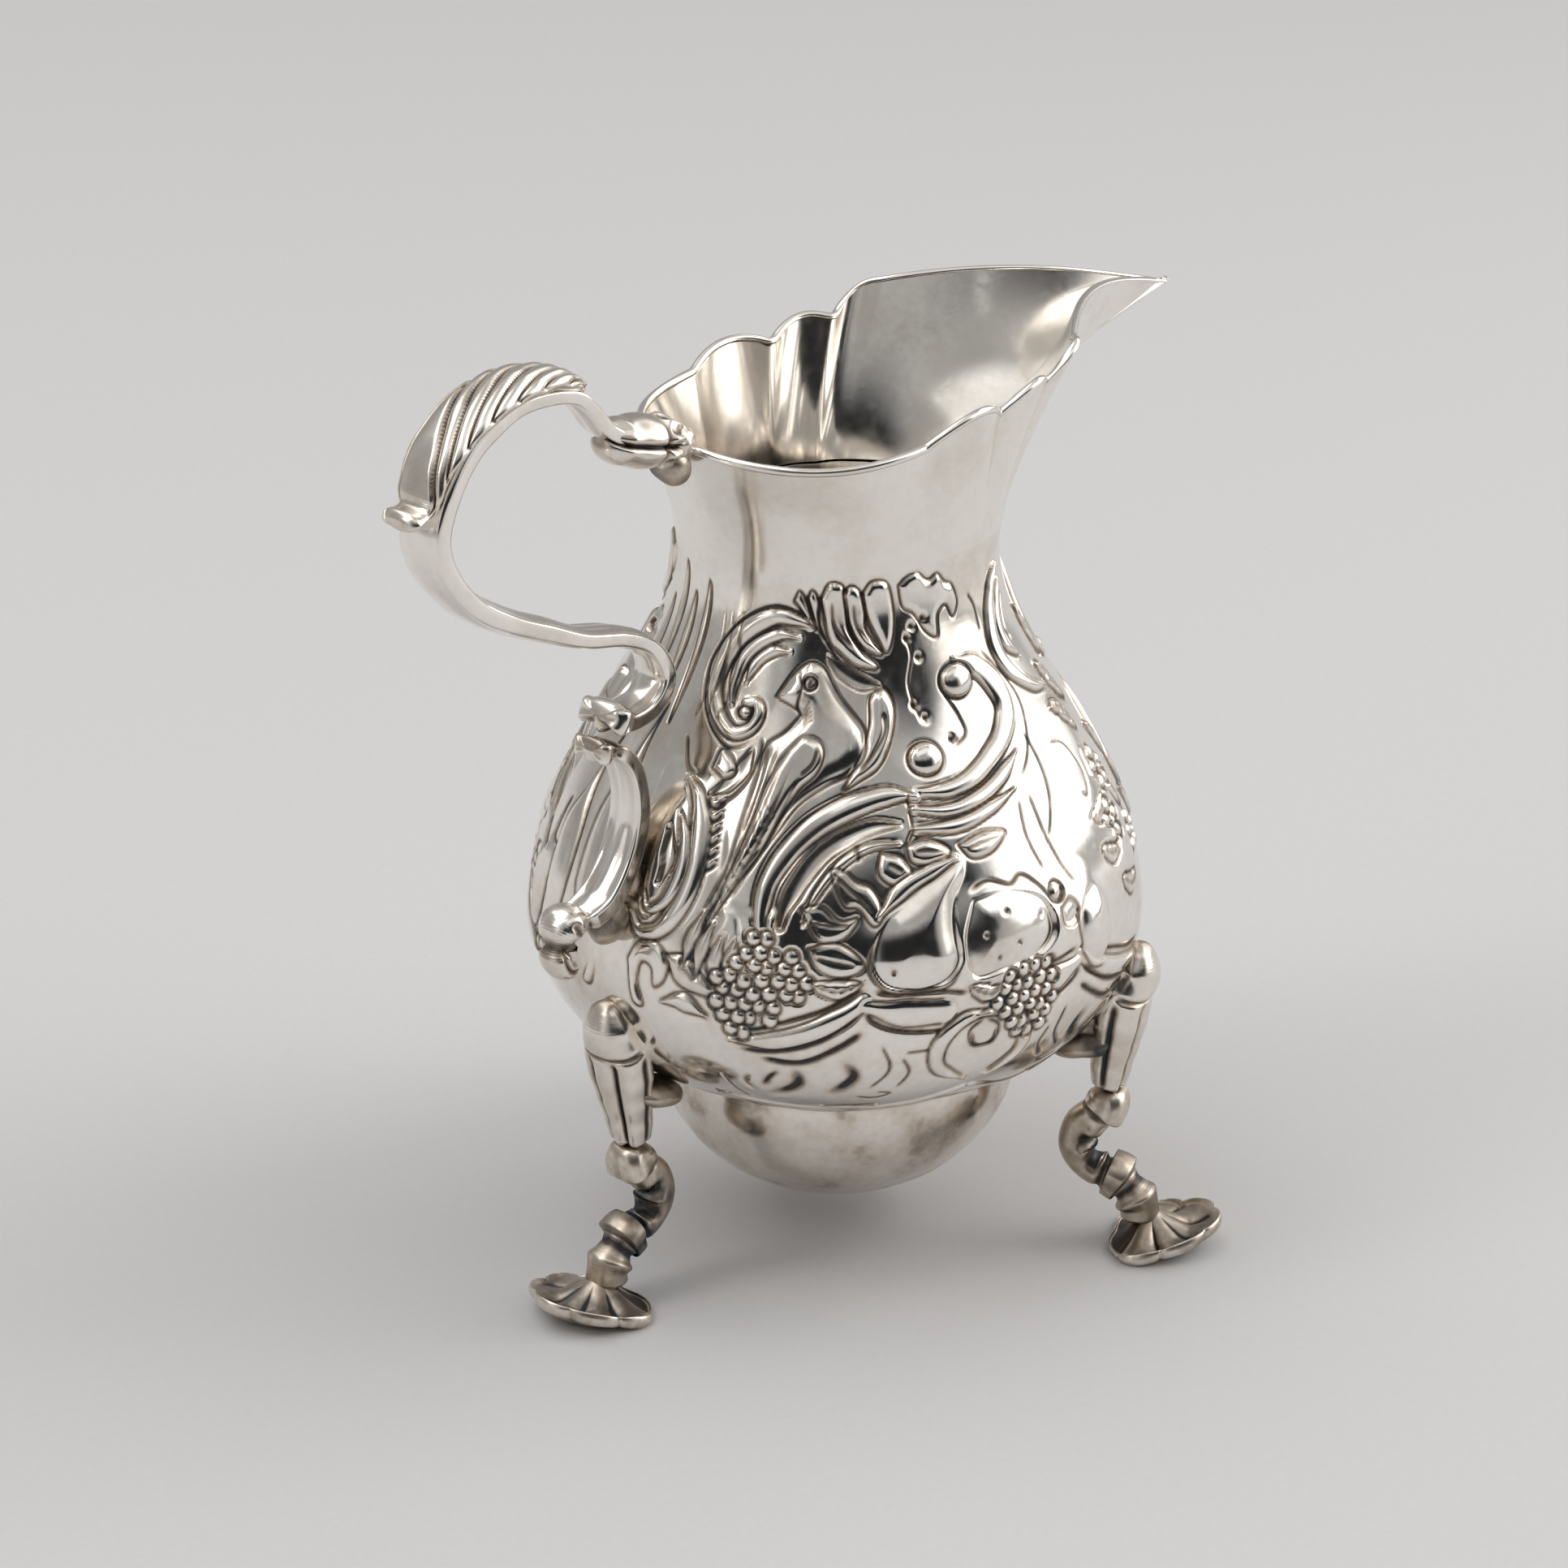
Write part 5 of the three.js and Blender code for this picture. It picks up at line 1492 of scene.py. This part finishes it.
# %% [markdown]
# The windows are real lamps, because lamps throw shadows on the table. The room itself is painted on the
# world: one glow for its walls, a dark side, and brighter panes. Both stand at fixed directions round the
# jug, so they stay with it when another view is taken.


# %% Windows
MIDDLE = (0, 0, 0.05)


def window_light(name, azimuth, elevation, distance, size, power, tint=(1, 1, 1)):
    """A rectangular lamp that faces the jug. azimuth is the direction it stands in, in degrees from +X."""
    a, e = np.radians(azimuth), np.radians(elevation)
    way = np.array([np.cos(a) * np.cos(e), np.sin(a) * np.cos(e), np.sin(e)])
    lamp = bpy.data.lights.new(name, "AREA")
    lamp.shape = "RECTANGLE"
    lamp.size, lamp.size_y = size
    lamp.energy = power
    lamp.color = tint
    holder = bpy.data.objects.new(name, lamp)
    bpy.context.scene.collection.objects.link(holder)
    place = np.array(MIDDLE) + way * distance
    turned = Vector(way).to_track_quat("Z", "Y").to_matrix().to_4x4()
    holder.matrix_world = Matrix.Translation(place) @ turned
    return holder


window_light("right_window", -32, 26, 0.9, (0.5, 0.7), 3.0, (1.0, 0.99, 0.97))
window_light("left_window", 158, 42, 1.2, (0.30, 0.8), 2.0, (1.0, 0.98, 0.95))
window_light("ceiling_left", 130, 64, 1.3, (1.3, 0.9), 5.0)
print("lamps:", len(bpy.data.lights))

# %% The room
room = Recipe(bpy.context.scene.world or bpy.data.worlds.new("room"))
bpy.context.scene.world = room.owner
look = room.make("ShaderNodeTexCoord", {}, {}, "Generated")


def room_patch(azimuth, elevation, half_wide, half_high, soft):
    """1 inside a rectangle on the room's wall, 0 outside: dot products with its sides give the place."""
    a, e = np.radians(azimuth), np.radians(elevation)
    sides = {
        "ahead": (np.cos(a) * np.cos(e), np.sin(a) * np.cos(e), np.sin(e)),
        "across": (-np.sin(a), np.cos(a), 0.0),
        "upward": (-np.cos(a) * np.sin(e), -np.sin(a) * np.sin(e), np.cos(e)),
    }
    ahead, across, upward = (
        room.make("ShaderNodeVectorMath", {"operation": "DOT_PRODUCT"}, {0: look, 1: side}, "Value")
        for side in sides.values()
    )
    wide = ((half_wide * half_wide - across * across) * (1.0 / soft)).clamp()
    high = ((half_high * half_high - upward * upward) * (1.0 / soft)).clamp()
    return wide * high * (ahead * 4.0).clamp()


dark = (room_patch(-118, 8, 0.72, 0.46, 0.16) * 1.2).clamp()
panes = room_patch(-102, 31, 0.045, 0.08, 0.002) * 0.4 + room_patch(-26, 30, 0.66, 0.46, 0.10) * 1.1
panes = panes + room_patch(-100, 64, 0.50, 0.26, 0.05) * 0.6
panes = panes + room_patch(172, 26, 0.16, 0.40, 0.03) * 0.5 + room_patch(70, 70, 0.6, 0.6, 0.3) * 0.3
flecks = room.noise(look, 2.6, 4.0)
glow = ((0.36 + (flecks - 0.5) * 0.5) * (1.0 - dark * 0.97)).clamp() + panes + 0.006
room_colour = room.colours(dark, (1.0, 0.985, 0.965, 1), (0.92, 0.95, 1.0, 1))
background = room.make("ShaderNodeBackground", {}, {"Color": room_colour, "Strength": glow})
room.make("ShaderNodeOutputWorld", {}, {"Surface": background})
bpy.context.scene.view_settings.view_transform = "Standard"
